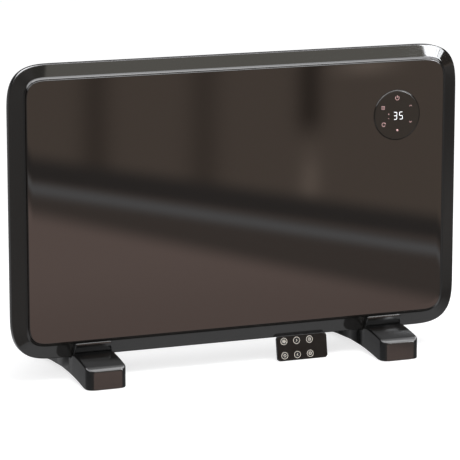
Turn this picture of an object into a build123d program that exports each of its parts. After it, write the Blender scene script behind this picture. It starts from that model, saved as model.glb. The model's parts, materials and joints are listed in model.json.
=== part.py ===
"""Glass-front convector heater on two feet, with its card remote control.

Millimetres. +X is the heater's right as seen from the front, +Y points to its back, +Z is up.
The origin is on the floor, in the middle of the footprint.
"""
from build123d import *
import math
import os

# Overall sizes
FRAME_WIDTH = 750.0
FRAME_HEIGHT = 458.0
FRAME_BOTTOM_Z = 38.0
FRAME_CORNER = 52.0
FOOT_LENGTH = 250.0
TOE_REACH = 69.0

# Clearances
SEAT_GAP = 0.3
SLIP_GAP = 0.5
PIVOT_GAP = 0.05
SCREW_GAP = 0.05

# Front frame, moulded plastic; depths are measured back from the glass face
BAND_WIDTH = 26.0
BAND_LIP_DEPTH = 2.2
BAND_CROWN = 0.6
RIM_FRONT_DEPTH = 7.6
RIM_ROUND = 3.0
FRAME_DEPTH = 20.0
FRAME_WALL = 2.8
LEDGE_WIDTH = 38.0
LEDGE_THICK = 2.6
BOSS_INSET = 8.6
BOSS_RADIUS = 4.5
BOSS_ROOT_DEPTH = 8.0

# Glass panel and the strip that bonds it
GLASS_SIDE_BAND = 24.7
GLASS_TOP_BAND = 23.3
GLASS_BOTTOM_BAND = 24.7
GLASS_WIDTH = FRAME_WIDTH - 2 * GLASS_SIDE_BAND
GLASS_HEIGHT = FRAME_HEIGHT - GLASS_TOP_BAND - GLASS_BOTTOM_BAND
GLASS_CORNER = 30.0
GLASS_THICK = 4.0
PILLOW_WIDTH = 9.0
PILLOW_DROP = 0.9
BOND_THICK = 0.6
BOND_INSET = 2.0

# Touch lens and the display behind it
LENS_SIDE_INSET = 107.2
LENS_TOP_INSET = 110.0
LENS_X = FRAME_WIDTH / 2 - LENS_SIDE_INSET
LENS_Z = FRAME_BOTTOM_Z + FRAME_HEIGHT - LENS_TOP_INSET
LENS_RADIUS = 40.3
LENS_PROUD = 1.5
LENS_CHAMFER = 1.2
CUP_RADIUS = 49.0
CUP_DEPTH = 13.0
CUP_WALL = 2.0
BOARD_THICK = 1.6
DISPLAY_BOARD_RADIUS = 44.0
DISPLAY_BOARD_BACK = 8.2
DIGIT_WIDTH = 22.0
DIGIT_HEIGHT = 16.0
TOUCH_CIRCLE = 27.0
TOUCH_RADIUS = 5.0
TOUCH_WALL = 0.8
CUP_POST_CIRCLE = 37.0
CUP_POST_RADIUS = 3.0

# Rear housing, folded steel sheet
SHEET = 1.2
HOUSING_SIDE_INSET = 45.0
HOUSING_BOTTOM_INSET = 14.0
HOUSING_TOP_INSET = 16.0
HOUSING_WIDTH = FRAME_WIDTH - 2 * HOUSING_SIDE_INSET
HOUSING_BOTTOM_Z = FRAME_BOTTOM_Z + HOUSING_BOTTOM_INSET
HOUSING_TOP_Z = FRAME_BOTTOM_Z + FRAME_HEIGHT - HOUSING_TOP_INSET
HOUSING_BACK_Y = 48.0
HOUSING_CORNER = 40.0
HOUSING_EDGE_ROUND = 8.0
FLANGE_DEPTH = 18.0
SLOT_WIDTH = 3.6
SLOT_PITCH = 12.0
SLOT_COUNT = 30
FLOOR_SLOT_LENGTH = 22.0
FLOOR_SLOT_ROWS = 2
FLOOR_SLOT_ROW_PITCH = 30.0
FLOOR_SLOT_Y = 8.0
BACK_SLOT_LENGTH = 26.0
BACK_SLOT_Z = 84.0
WALL_HOLE_RADIUS = 2.6
WALL_HOLE_SPACING_X = 400.0
WALL_HOLE_SPACING_Z = 180.0
WALL_HOLE_MID_Z = 290.0

# Outlet grille on the housing's top
OUTLET_END_ROOM = 170.0
OUTLET_LENGTH = HOUSING_WIDTH - OUTLET_END_ROOM
OUTLET_DEPTH = 58.0
OUTLET_X = -45.0
OUTLET_Y = 6.0
GRILLE_LIP = 6.0
GRILLE_LIP_THICK = 1.6
GRILLE_RIM = 2.4
SLAT_THICK = 2.0
SLAT_HEIGHT = 8.0
SLAT_PITCH = 6.6
SLAT_TILT = 30.0
SLAT_COUNT = 8
RIB_THICK = 2.0
RIB_COUNT = 8

# Screws that hold the housing to the frame
SCREW_RADIUS = 1.9
SCREW_LENGTH = 7.0
SCREW_HEAD_RADIUS = 3.6
SCREW_HEAD_THICK = 2.3
SCREW_ROW_END = 83.0
SCREW_COLUMN_PITCH = FRAME_WIDTH / 5
SCREW_ROW_PITCH = FRAME_HEIGHT / 2 - SCREW_ROW_END

# Heat shield and partition
SHIELD_SHEET = 1.0
SHIELD_FRONT_Y = -33.0
SHIELD_RETURN = 9.0
CONTROL_ROOM = 100.0
FOOT_SIDE_INSET = 127.4
FOOT_X = FRAME_WIDTH / 2 - FOOT_SIDE_INSET
FOOT_NUT_RADIUS = 5.0
NUT_ROOM = 3.0
NUT_LEFT_X = FOOT_X - FOOT_NUT_RADIUS - NUT_ROOM
PARTITION_X = min(HOUSING_WIDTH / 2 - CONTROL_ROOM, NUT_LEFT_X)
PARTITION_FOLD = 12.0
WIRE_HOLE_RADIUS = 9.0

# Heating element
ELEMENT_Y = 7.0
ELEMENT_Z = 128.0
ROD_RADIUS = 4.0
ROD_GAP = 0.15
FIN_HUB_RADIUS = 7.0
FIN_SPAN = 64.0
FIN_THICK = 2.2
FIN_END_ROOM = 40.0
FIN_WALL_ROOM = 44.0
FIN_LEFT_X = -HOUSING_WIDTH / 2 + FIN_END_ROOM
FIN_RIGHT_X = PARTITION_X - FIN_WALL_ROOM
BRACKET_SHEET = 1.5
BRACKET_HEIGHT = 48.0
BRACKET_FOLD = 14.0
BRACKET_FRONT_Y = -13.0
FIN_END_SPACE = 10.0
BUSH_RADIUS = 7.0
BUSH_FLANGE_RADIUS = 10.0
BUSH_FLANGE_THICK = 3.0
BUSH_TAIL = 6.0
ROD_TAIL = 12.0
TERMINAL_RADIUS = 1.5
TERMINAL_LENGTH = 9.0

# Thermal cut-out, fuse and room sensor
CUTOUT_IN = 36.0
CUTOUT_X = FIN_RIGHT_X - CUTOUT_IN
CUTOUT_ARM_Z = 196.0
CUTOUT_ARM_WIDTH = 44.0
CUTOUT_ARM_REACH = 34.0
CUTOUT_TAB = 16.0
CUTOUT_FORWARD = 3.0
CUTOUT_RADIUS = 7.9
CUTOUT_HEIGHT = 9.0
CUTOUT_FLANGE_RADIUS = 11.0
CUTOUT_FLANGE_THICK = 1.0
CUTOUT_BLADE_HEIGHT = 8.0
FUSE_RADIUS = 2.0
FUSE_LENGTH = 12.0
FUSE_LEAD_RADIUS = 0.6
FUSE_LEAD_LENGTH = 8.0
SENSOR_SIDE_INSET = 46.0
SENSOR_X = HOUSING_WIDTH / 2 - SENSOR_SIDE_INSET
SENSOR_Y = -16.0
SENSOR_RADIUS = 2.5
SENSOR_LENGTH = 26.0
CLIP_WIDTH = 8.0
CLIP_DEPTH = 10.0
CLIP_HEIGHT = 14.0

# Control box with the power board
BOX_SIDE_INSET = 46.0
BOX_X = HOUSING_WIDTH / 2 - BOX_SIDE_INSET
BOX_Z = 262.0
BOX_WIDTH = 74.0
BOX_HEIGHT = 112.0
BOX_DEPTH = 34.0
BOX_WALL = 2.0
POWER_BOARD_RISE = 5.0
POWER_BOARD_WIDTH = 66.0
POWER_BOARD_HEIGHT = 104.0
RELAY_SIZE = (19.0, 15.6, 15.4)
CAPACITOR_SIZE = (10.0, 26.0, 18.0)
RELAY_SHIFT = (-18.0, 30.0)
CAPACITOR_SHIFT = (18.0, -26.0)
BOX_POST_RADIUS = 3.0
BOX_POST_INSET = 8.0

# Terminal block
BLOCK_Z = 178.0
BLOCK_WIDTH = 38.0
BLOCK_HEIGHT = 20.0
BLOCK_DEPTH = 15.0
BLOCK_POLES = 3
BLOCK_POLE_PITCH = 12.0
BLOCK_WIRE_RADIUS = 2.2
BLOCK_SCREW_RADIUS = 2.4

# Main rocker switch in the back wall
SWITCH_SIDE_INSET = 48.0
SWITCH_X = HOUSING_WIDTH / 2 - SWITCH_SIDE_INSET
SWITCH_Z = 132.0
SWITCH_WIDTH = 21.8
SWITCH_HEIGHT = 28.1
SWITCH_DEPTH = 22.0
BEZEL_BORDER = 1.8
BEZEL_THICK = 2.4
ROCKER_WIDTH = 18.4
ROCKER_END_RADIUS = 12.6
ROCKER_FACE_RISE = 5.0
ROCKER_VALLEY_RISE = 3.2
ROCKER_STEM_DROP = 6.0
ROCKER_STEM_WIDTH = 6.0
ROCKER_SIDE_GAP = 0.4
ROCKER_TILT = 8.0
ROCKER_PIVOT_IN = 2.0
TRUNNION_RADIUS = 1.5
TRUNNION_LENGTH = 1.2
ROCKER_ROOM = 10.0
BLADE_WIDTH = 6.3
BLADE_THICK = 0.8
BLADE_LENGTH = 8.0

# Cord gland in the back wall
GLAND_Z = 88.0
GLAND_BORE_RADIUS = 4.0
GLAND_RADIUS = 8.0
GLAND_FLANGE_RADIUS = 12.0
GLAND_FLANGE_THICK = 4.0
GLAND_TAIL = 16.0
GLAND_NUT_THICK = 5.0

# Tip-over switch on the housing floor
TILT_SIDE_INSET = 58.0
TILT_X = HOUSING_WIDTH / 2 - TILT_SIDE_INSET
TILT_Y = 7.0
TILT_BASE_WIDTH = 20.0
TILT_BASE_LENGTH = 34.0
TILT_SHEET = 1.6
TILT_CHEEK_LENGTH = 14.0
TILT_PIVOT_RISE = 28.0
TILT_PIN_RADIUS = 1.25
TILT_ARM_WIDTH = 4.0
TILT_ARM_THICK = 3.0
TILT_BOB_DROP = 17.0
TILT_BOB_RADIUS = 7.0
TILT_BOB_WIDTH = 9.0

# Feet
FOOT_WIDTH = 65.0
PAD_PROUD = 1.2
PAD_RECESS = 1.0
PAD_LENGTH = 13.0
PAD_WIDTH = 44.0
PAD_CORNER = 3.0
TOE_FLAT = 19.0
ARCH_HEIGHT = 10.4
TOE_TOP_Z = 34.5
FOOT_TOP_Z = 44.5
FOOT_TOP_CROWN = 0.8
FOOT_CORNER = 11.0
FOOT_EDGE = 5.0
NECK_INSET = 0.6
NECK_TOP_Z = 60.5
NECK_TOP_INSET = 2.3
NECK_FRONT_DEPTH = -5.0
NECK_CORNER = 3.0
NECK_EDGE = 1.5
RISER_LIP = 6.0
FOOT_SCREW_RADIUS = 2.5
FOOT_SCREW_HEAD_RADIUS = 4.8
FOOT_SCREW_HEAD_THICK = 3.0
FOOT_SCREW_SPACING = 44.0
FOOT_SCREW_MID_Y = 8.0
FOOT_SCREW_GRIP = 18.0
FOOT_NUT_THICK = 5.0

# Card remote control, standing on its long edge and leaning on the frame
REMOTE_X = 105.0
REMOTE_LENGTH = 86.0
REMOTE_WIDTH = 40.0
REMOTE_THICK = 6.8
REMOTE_CORNER = 5.0
REMOTE_EDGE = 0.8
REMOTE_LEAN = 10.0
REMOTE_BACK_FLOOR = 1.2
REMOTE_FACE_THICK = 1.4
REMOTE_WALL = 1.5
REMOTE_SPLIT = 4.8
REMOTE_BOARD_RISE = 2.4
REMOTE_BOARD_THICK = 1.0
REMOTE_BOARD_END = 17.0
KEY_RADIUS = 6.0
KEY_GAP = 0.25
KEY_PROUD = 0.4
KEY_TRAVEL = 0.5
KEY_FLANGE = 0.9
KEY_FLANGE_THICK = 0.6
KEY_STEM_RADIUS = 2.0
KEY_COLUMN = 11.4
KEY_ROWS = (-31.5, -9.5, 12.7)
TRAY_WIDTH = 24.0
TRAY_LENGTH = 22.0
TRAY_THICK = 3.0
CELL_RADIUS = 10.0
CELL_THICK = 2.4
TRAY_FLOOR = 0.5
EMITTER_RADIUS = 1.4
EMITTER_LENGTH = 4.0

# Places that follow from the sizes above
GLASS_Y = -FOOT_LENGTH / 2 + TOE_REACH
FRAME_MID_Z = FRAME_BOTTOM_Z + FRAME_HEIGHT / 2
FRAME_TOP_Z = FRAME_BOTTOM_Z + FRAME_HEIGHT
FRAME_BACK_Y = GLASS_Y + FRAME_DEPTH
GLASS_MID_Z = FRAME_TOP_Z - GLASS_TOP_BAND - GLASS_HEIGHT / 2
LEDGE_FRONT_DEPTH = GLASS_THICK + BOND_THICK
GLASS_BACK_Y = GLASS_Y + GLASS_THICK
FLANGE_FRONT_Y = GLASS_Y + FLANGE_DEPTH
FLANGE_BACK_Y = FLANGE_FRONT_Y + SHEET
HOUSING_MID_Z = (HOUSING_BOTTOM_Z + HOUSING_TOP_Z) / 2
HOUSING_HEIGHT = HOUSING_TOP_Z - HOUSING_BOTTOM_Z
WALL_INNER_Y = HOUSING_BACK_Y - SHEET
REAR_SEAT_Y = WALL_INNER_Y - SEAT_GAP
FLOOR_SEAT_Z = HOUSING_BOTTOM_Z + SHEET + SEAT_GAP
ROOF_SEAT_Z = HOUSING_TOP_Z - SHEET - SEAT_GAP

os.makedirs("parts", exist_ok=True)


def save(piece, name):
    """Labels a finished piece and writes its STEP file."""
    piece.part.label = name
    export_step(piece.part, f"parts/{name}.step")


def facing(y):
    """The plane at depth y that faces the front: local x is +X, local y is +Z, its normal is -Y."""
    return Plane.XZ.offset(-y)


def side_on(x):
    """The plane at x, seen from the right: local x is +Y, local y is +Z, its normal is +X."""
    return Plane.YZ.offset(x)


def level(z):
    """The level plane at height z."""
    return Plane.XY.offset(z)


# Front frame: one moulded ring. Its section runs round the right half and is mirrored, then the seat for
# the glass is cut to the glass's own outline, and screw bosses stand on the back of the band.
half_width = FRAME_WIDTH / 2
right_x = half_width - FRAME_CORNER
low_z, high_z = FRAME_BOTTOM_Z + FRAME_CORNER, FRAME_TOP_Z - FRAME_CORNER
screw_spots = [
    (column * SCREW_COLUMN_PITCH, z)
    for column in (-2, -1, 0, 1, 2)
    for z in (FRAME_BOTTOM_Z + BOSS_INSET, FRAME_TOP_Z - BOSS_INSET)
] + [
    (side * (half_width - BOSS_INSET), FRAME_MID_Z + row * SCREW_ROW_PITCH)
    for side in (-1, 1)
    for row in (-1, 0, 1)
]


def rim_section(x, z, heading):
    """The frame's section, standing across the rim at x, z and facing along the heading."""
    ledge_back = LEDGE_FRONT_DEPTH + LEDGE_THICK
    crown = ((RIM_FRONT_DEPTH + BAND_LIP_DEPTH) / 2 - BAND_CROWN, BAND_WIDTH / 2)
    with BuildSketch(Plane((x, GLASS_Y, z), x_dir=(0, 1, 0), z_dir=heading)) as section:
        with BuildLine():
            Line((FRAME_DEPTH, 0), (RIM_FRONT_DEPTH, 0))
            ThreePointArc((RIM_FRONT_DEPTH, 0), crown, (BAND_LIP_DEPTH, BAND_WIDTH))
            Polyline(
                (BAND_LIP_DEPTH, BAND_WIDTH),
                (BAND_LIP_DEPTH, LEDGE_WIDTH),
                (ledge_back, LEDGE_WIDTH),
                (ledge_back, BAND_WIDTH),
                (RIM_FRONT_DEPTH + FRAME_WALL, FRAME_WALL),
                (FRAME_DEPTH, FRAME_WALL),
                (FRAME_DEPTH, 0),
            )
        make_face()
        fillet(section.vertices().sort_by_distance((RIM_FRONT_DEPTH, 0, 0))[0], radius=RIM_ROUND)
    return section.sketch


with BuildPart() as front_frame:
    extrude(rim_section(0, FRAME_BOTTOM_Z, (1, 0, 0)), amount=right_x)
    lower_turn = Axis((right_x, 0, low_z), (0, -1, 0))
    revolve(rim_section(right_x, FRAME_BOTTOM_Z, (1, 0, 0)), axis=lower_turn, revolution_arc=90)
    extrude(rim_section(half_width, low_z, (0, 0, 1)), amount=high_z - low_z)
    upper_turn = Axis((right_x, 0, high_z), (0, -1, 0))
    revolve(rim_section(half_width, high_z, (0, 0, 1)), axis=upper_turn, revolution_arc=90)
    extrude(rim_section(right_x, FRAME_TOP_Z, (-1, 0, 0)), amount=right_x)
    mirror(about=Plane.YZ)
    with BuildSketch(facing(FLANGE_FRONT_Y)):
        with Locations(*screw_spots):
            Circle(BOSS_RADIUS)
    extrude(amount=FLANGE_DEPTH - BOSS_ROOT_DEPTH)
    with BuildSketch(facing(FLANGE_FRONT_Y)):
        with Locations(*screw_spots):
            Circle(SCREW_RADIUS + SCREW_GAP)
    extrude(amount=SCREW_LENGTH - SHEET + SLIP_GAP, mode=Mode.SUBTRACT)
    with BuildSketch(facing(GLASS_Y + LEDGE_FRONT_DEPTH)):
        with Locations((0, GLASS_MID_Z)):
            RectangleRounded(GLASS_WIDTH + 2 * SLIP_GAP, GLASS_HEIGHT + 2 * SLIP_GAP, GLASS_CORNER + SLIP_GAP)
    extrude(amount=LEDGE_FRONT_DEPTH, mode=Mode.SUBTRACT)
save(front_frame, "front_frame")

# Glass panel: toughened glass, enamelled black behind, with a shallow bevel round its face and a
# round hole for the touch lens.
with BuildPart() as glass_panel:
    with BuildSketch(facing(GLASS_BACK_Y)):
        with Locations((0, GLASS_MID_Z)):
            RectangleRounded(GLASS_WIDTH, GLASS_HEIGHT, GLASS_CORNER)
    extrude(amount=GLASS_THICK)
    glass_face = glass_panel.faces().sort_by(Axis.Y)[0]
    chamfer(glass_face.edges(), length=PILLOW_WIDTH, length2=PILLOW_DROP, reference=glass_face)
    with BuildSketch(facing(GLASS_BACK_Y)):
        with Locations((LENS_X, LENS_Z)):
            Circle(LENS_RADIUS + SEAT_GAP)
    extrude(amount=GLASS_THICK, mode=Mode.SUBTRACT)
save(glass_panel, "glass_panel")

# Bond strip: the silicone ring that holds the glass on the frame's ledge.
with BuildPart() as glass_bond:
    bond_ring = BAND_WIDTH + BOND_INSET
    with BuildSketch(facing(GLASS_BACK_Y + BOND_THICK)):
        with Locations((0, FRAME_MID_Z)):
            RectangleRounded(
                FRAME_WIDTH - 2 * bond_ring, FRAME_HEIGHT - 2 * bond_ring, FRAME_CORNER - bond_ring)
            RectangleRounded(
                FRAME_WIDTH - 2 * LEDGE_WIDTH, FRAME_HEIGHT - 2 * LEDGE_WIDTH,
                FRAME_CORNER - LEDGE_WIDTH, mode=Mode.SUBTRACT)
    extrude(amount=BOND_THICK)
save(glass_bond, "glass_bond")

# Touch lens: the round smoked cover in the glass, a little proud of it, with a chamfered edge.
with BuildPart() as touch_lens:
    with BuildSketch(facing(GLASS_BACK_Y)):
        with Locations((LENS_X, LENS_Z)):
            Circle(LENS_RADIUS)
    extrude(amount=GLASS_THICK + LENS_PROUD)
    chamfer(touch_lens.edges().group_by(Axis.Y)[0], length=LENS_CHAMFER)
save(touch_lens, "touch_lens")

# Display cup: the moulded cup on the back of the glass, with four posts that carry the board.
cup_back_y = GLASS_BACK_Y + SEAT_GAP + CUP_DEPTH
display_board_y = GLASS_BACK_Y + DISPLAY_BOARD_BACK
with BuildPart() as display_cup:
    with BuildSketch(facing(cup_back_y)):
        with Locations((LENS_X, LENS_Z)):
            Circle(CUP_RADIUS)
    extrude(amount=CUP_DEPTH)
    with BuildSketch(facing(cup_back_y - CUP_WALL)):
        with Locations((LENS_X, LENS_Z)):
            Circle(CUP_RADIUS - CUP_WALL)
    extrude(amount=CUP_DEPTH, mode=Mode.SUBTRACT)
    with BuildSketch(facing(cup_back_y - CUP_WALL)):
        with Locations((LENS_X, LENS_Z)):
            with PolarLocations(CUP_POST_CIRCLE, 4, start_angle=45):
                Circle(CUP_POST_RADIUS)
    extrude(amount=cup_back_y - CUP_WALL - display_board_y)
save(display_cup, "display_cup")

# Display board: the round circuit board on the cup's posts.
with BuildPart() as display_board:
    with BuildSketch(facing(display_board_y)):
        with Locations((LENS_X, LENS_Z)):
            Circle(DISPLAY_BOARD_RADIUS)
    extrude(amount=BOARD_THICK)
save(display_board, "display_board")

# Digit module: the two-digit light display, between the board and the lens.
board_front_y = display_board_y - BOARD_THICK
with BuildPart() as digit_module:
    with BuildSketch(facing(board_front_y)):
        with Locations((LENS_X, LENS_Z)):
            RectangleRounded(DIGIT_WIDTH, DIGIT_HEIGHT, 1)
    extrude(amount=board_front_y - GLASS_BACK_Y - SEAT_GAP)
save(digit_module, "digit_module")

# Touch springs: six metal sleeves that carry the touch from the lens to the board.
with BuildPart() as touch_springs:
    with BuildSketch(facing(board_front_y)):
        with Locations((LENS_X, LENS_Z)):
            with PolarLocations(TOUCH_CIRCLE, 6, start_angle=30):
                Circle(TOUCH_RADIUS)
                Circle(TOUCH_RADIUS - TOUCH_WALL, mode=Mode.SUBTRACT)
    extrude(amount=board_front_y - GLASS_BACK_Y - SEAT_GAP)
save(touch_springs, "touch_springs")

# Rear housing: a folded steel tray, open towards the frame. Its flange lies on the frame's bosses.
# Air comes in through punched slots in its floor and low in its back, and leaves through its roof.
with BuildPart() as rear_housing:
    with BuildSketch(facing(HOUSING_BACK_Y)):
        with Locations((0, HOUSING_MID_Z)):
            RectangleRounded(HOUSING_WIDTH, HOUSING_HEIGHT, HOUSING_CORNER)
    extrude(amount=HOUSING_BACK_Y - FLANGE_FRONT_Y)
    fillet(rear_housing.edges().group_by(Axis.Y)[-1], radius=HOUSING_EDGE_ROUND)
    offset(amount=-SHEET, openings=rear_housing.faces().sort_by(Axis.Y)[0])
    flange_inset = FRAME_WALL + SLIP_GAP
    with BuildSketch(facing(FLANGE_BACK_Y)):
        with Locations((0, FRAME_MID_Z)):
            RectangleRounded(
                FRAME_WIDTH - 2 * flange_inset, FRAME_HEIGHT - 2 * flange_inset, FRAME_CORNER - flange_inset)
        with Locations((0, HOUSING_MID_Z)):
            RectangleRounded(
                HOUSING_WIDTH - 2 * SHEET, HOUSING_HEIGHT - 2 * SHEET, HOUSING_CORNER - SHEET,
                mode=Mode.SUBTRACT)
    extrude(amount=SHEET)
    with BuildSketch(facing(FLANGE_BACK_Y)):
        with Locations(*screw_spots):
            Circle(SCREW_RADIUS + SEAT_GAP)
    extrude(amount=SHEET, mode=Mode.SUBTRACT)
    with BuildSketch(level(HOUSING_BOTTOM_Z)):
        with Locations((0, FLOOR_SLOT_Y)):
            with GridLocations(SLOT_PITCH, FLOOR_SLOT_ROW_PITCH, SLOT_COUNT, FLOOR_SLOT_ROWS):
                SlotOverall(FLOOR_SLOT_LENGTH, SLOT_WIDTH, rotation=90)
        with Locations((-FOOT_X, FOOT_SCREW_MID_Y), (FOOT_X, FOOT_SCREW_MID_Y)):
            with GridLocations(0, FOOT_SCREW_SPACING, 1, 2):
                Circle(FOOT_SCREW_RADIUS + SEAT_GAP)
    extrude(amount=SHEET, mode=Mode.SUBTRACT)
    with BuildSketch(facing(HOUSING_BACK_Y)):
        with Locations((0, BACK_SLOT_Z)):
            with GridLocations(SLOT_PITCH, 0, SLOT_COUNT, 1):
                SlotOverall(BACK_SLOT_LENGTH, SLOT_WIDTH, rotation=90)
        with Locations((0, WALL_HOLE_MID_Z)):
            with GridLocations(WALL_HOLE_SPACING_X, WALL_HOLE_SPACING_Z, 2, 2):
                Circle(WALL_HOLE_RADIUS)
        with Locations((SWITCH_X, SWITCH_Z)):
            Rectangle(SWITCH_WIDTH + 2 * SEAT_GAP, SWITCH_HEIGHT + 2 * SEAT_GAP)
        with Locations((SWITCH_X, GLAND_Z)):
            Circle(GLAND_RADIUS + SEAT_GAP)
    extrude(amount=SHEET, mode=Mode.SUBTRACT)
    with BuildSketch(level(HOUSING_TOP_Z)):
        with Locations((OUTLET_X, OUTLET_Y)):
            Rectangle(OUTLET_LENGTH, OUTLET_DEPTH)
    extrude(amount=-SHEET, mode=Mode.SUBTRACT)
save(rear_housing, "rear_housing")

# Outlet grille: a moulded insert whose tilted slats send the warm air forwards.
with BuildPart() as outlet_grille:
    grille_length = OUTLET_LENGTH - 2 * SEAT_GAP
    grille_depth = OUTLET_DEPTH - 2 * SEAT_GAP
    with BuildSketch(level(HOUSING_TOP_Z)):
        with Locations((OUTLET_X, OUTLET_Y)):
            Rectangle(grille_length, grille_depth)
            Rectangle(grille_length - 2 * GRILLE_RIM, grille_depth - 2 * GRILLE_RIM, mode=Mode.SUBTRACT)
    extrude(amount=-SLAT_HEIGHT)
    with BuildSketch(level(HOUSING_TOP_Z)):
        with Locations((OUTLET_X, OUTLET_Y)):
            RectangleRounded(OUTLET_LENGTH + 2 * GRILLE_LIP, OUTLET_DEPTH + 2 * GRILLE_LIP, GRILLE_LIP)
            Rectangle(grille_length - 2 * GRILLE_RIM, grille_depth - 2 * GRILLE_RIM, mode=Mode.SUBTRACT)
    extrude(amount=GRILLE_LIP_THICK)
    with BuildSketch(side_on(OUTLET_X - grille_length / 2 + GRILLE_RIM / 2)):
        with Locations((OUTLET_Y, HOUSING_TOP_Z - SLAT_HEIGHT / 2 + GRILLE_LIP_THICK / 2)):
            with GridLocations(SLAT_PITCH, 0, SLAT_COUNT, 1):
                Rectangle(SLAT_THICK, SLAT_HEIGHT, rotation=SLAT_TILT)
    extrude(amount=grille_length - GRILLE_RIM)
    with BuildSketch(level(HOUSING_TOP_Z)):
        with Locations((OUTLET_X, OUTLET_Y)):
            with GridLocations(grille_length / (RIB_COUNT + 1), 0, RIB_COUNT, 1):
                Rectangle(RIB_THICK, grille_depth - GRILLE_RIM)
    extrude(amount=-SLAT_HEIGHT)
save(outlet_grille, "outlet_grille")

# Housing screws: pan-head screws through the flange into the frame's bosses.
with BuildPart() as housing_screws:
    with BuildSketch(facing(FLANGE_BACK_Y)):
        with Locations(*screw_spots):
            Circle(SCREW_RADIUS)
    extrude(amount=SCREW_LENGTH)
    with BuildSketch(facing(FLANGE_BACK_Y)):
        with Locations(*screw_spots):
            Circle(SCREW_HEAD_RADIUS)
    extrude(amount=-SCREW_HEAD_THICK)
save(housing_screws, "housing_screws")

# Heat shield: a bright steel tray that closes the hot duct behind the glass.
with BuildPart() as heat_shield:
    inner_inset = SHEET + SEAT_GAP
    shield_right = PARTITION_X - SEAT_GAP
    shield_left = -HOUSING_WIDTH / 2 + inner_inset
    with BuildSketch(facing(SHIELD_FRONT_Y + SHIELD_RETURN)):
        with Locations((0, HOUSING_MID_Z)):
            RectangleRounded(
                HOUSING_WIDTH - 2 * inner_inset, HOUSING_HEIGHT - 2 * inner_inset,
                HOUSING_CORNER - inner_inset)
        with Locations(((shield_left + shield_right) / 2, HOUSING_MID_Z)):
            Rectangle(shield_right - shield_left, HOUSING_HEIGHT, mode=Mode.INTERSECT)
    extrude(amount=SHIELD_RETURN)
    offset(amount=-SHIELD_SHEET, openings=heat_shield.faces().sort_by(Axis.Y)[-1])
save(heat_shield, "heat_shield")

# Partition: the steel wall between the hot duct and the electronics, folded where it meets the back.
with BuildPart() as partition_plate:
    with BuildSketch(level(FLOOR_SEAT_Z)):
        with BuildLine():
            Polyline(
                (PARTITION_X, SHIELD_FRONT_Y),
                (PARTITION_X + SHIELD_SHEET, SHIELD_FRONT_Y),
                (PARTITION_X + SHIELD_SHEET, REAR_SEAT_Y - SHIELD_SHEET),
                (PARTITION_X + PARTITION_FOLD, REAR_SEAT_Y - SHIELD_SHEET),
                (PARTITION_X + PARTITION_FOLD, REAR_SEAT_Y),
                (PARTITION_X, REAR_SEAT_Y),
                close=True,
            )
        make_face()
    extrude(amount=ROOF_SEAT_Z - FLOOR_SEAT_Z)
    with BuildSketch(side_on(PARTITION_X)):
        with Locations((0, HOUSING_MID_Z)):
            RectangleRounded(2 * REAR_SEAT_Y, ROOF_SEAT_Z - FLOOR_SEAT_Z, HOUSING_EDGE_ROUND)
    extrude(amount=PARTITION_FOLD, mode=Mode.INTERSECT)
    with BuildSketch(side_on(PARTITION_X)):
        with Locations((ELEMENT_Y, ELEMENT_Z)):
            Circle(WIRE_HOLE_RADIUS)
    extrude(amount=SHIELD_SHEET, mode=Mode.SUBTRACT)
save(partition_plate, "partition_plate")

# Heating element: an extruded aluminium profile with four fins in an X, on a sheathed steel rod.
fin_length = FIN_RIGHT_X - FIN_LEFT_X
with BuildPart() as heating_element:
    with BuildSketch(side_on(FIN_LEFT_X)):
        with Locations((ELEMENT_Y, ELEMENT_Z)):
            Circle(FIN_HUB_RADIUS)
            Rectangle(FIN_SPAN, FIN_THICK, rotation=45)
            Rectangle(FIN_SPAN, FIN_THICK, rotation=-45)
            Circle(ROD_RADIUS + ROD_GAP, mode=Mode.SUBTRACT)
    extrude(amount=fin_length)
save(heating_element, "heating_element")

# Brackets, ceramic bushes, rod and terminals: both ends alike, mirrored by their side.
bracket_places = {
    "left": (FIN_LEFT_X - FIN_END_SPACE, -1),
    "right": (FIN_RIGHT_X + FIN_END_SPACE, 1),
}
for side_name, (inner_x, side) in bracket_places.items():
    with BuildPart() as bracket:
        with BuildSketch(level(ELEMENT_Z - BRACKET_HEIGHT / 2)):
            with BuildLine():
                Polyline(
                    (inner_x, BRACKET_FRONT_Y),
                    (inner_x + side * BRACKET_SHEET, BRACKET_FRONT_Y),
                    (inner_x + side * BRACKET_SHEET, REAR_SEAT_Y - BRACKET_SHEET),
                    (inner_x + side * BRACKET_FOLD, REAR_SEAT_Y - BRACKET_SHEET),
                    (inner_x + side * BRACKET_FOLD, REAR_SEAT_Y),
                    (inner_x, REAR_SEAT_Y),
                    close=True,
                )
            make_face()
        extrude(amount=BRACKET_HEIGHT)
        with BuildSketch(side_on(inner_x)):
            with Locations((ELEMENT_Y, ELEMENT_Z)):
                Circle(BUSH_RADIUS + ROD_GAP)
        extrude(amount=side * BRACKET_SHEET, mode=Mode.SUBTRACT)
    save(bracket, f"element_bracket_{side_name}")

with BuildPart() as element_bushes:
    for inner_x, side in bracket_places.values():
        with BuildSketch(side_on(inner_x)):
            with Locations((ELEMENT_Y, ELEMENT_Z)):
                Circle(BUSH_FLANGE_RADIUS)
                Circle(ROD_RADIUS + ROD_GAP, mode=Mode.SUBTRACT)
        extrude(amount=-side * BUSH_FLANGE_THICK)
        with BuildSketch(side_on(inner_x)):
            with Locations((ELEMENT_Y, ELEMENT_Z)):
                Circle(BUSH_RADIUS)
                Circle(ROD_RADIUS + ROD_GAP, mode=Mode.SUBTRACT)
        extrude(amount=side * (BRACKET_SHEET + BUSH_TAIL))
save(element_bushes, "element_bushes")

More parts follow.
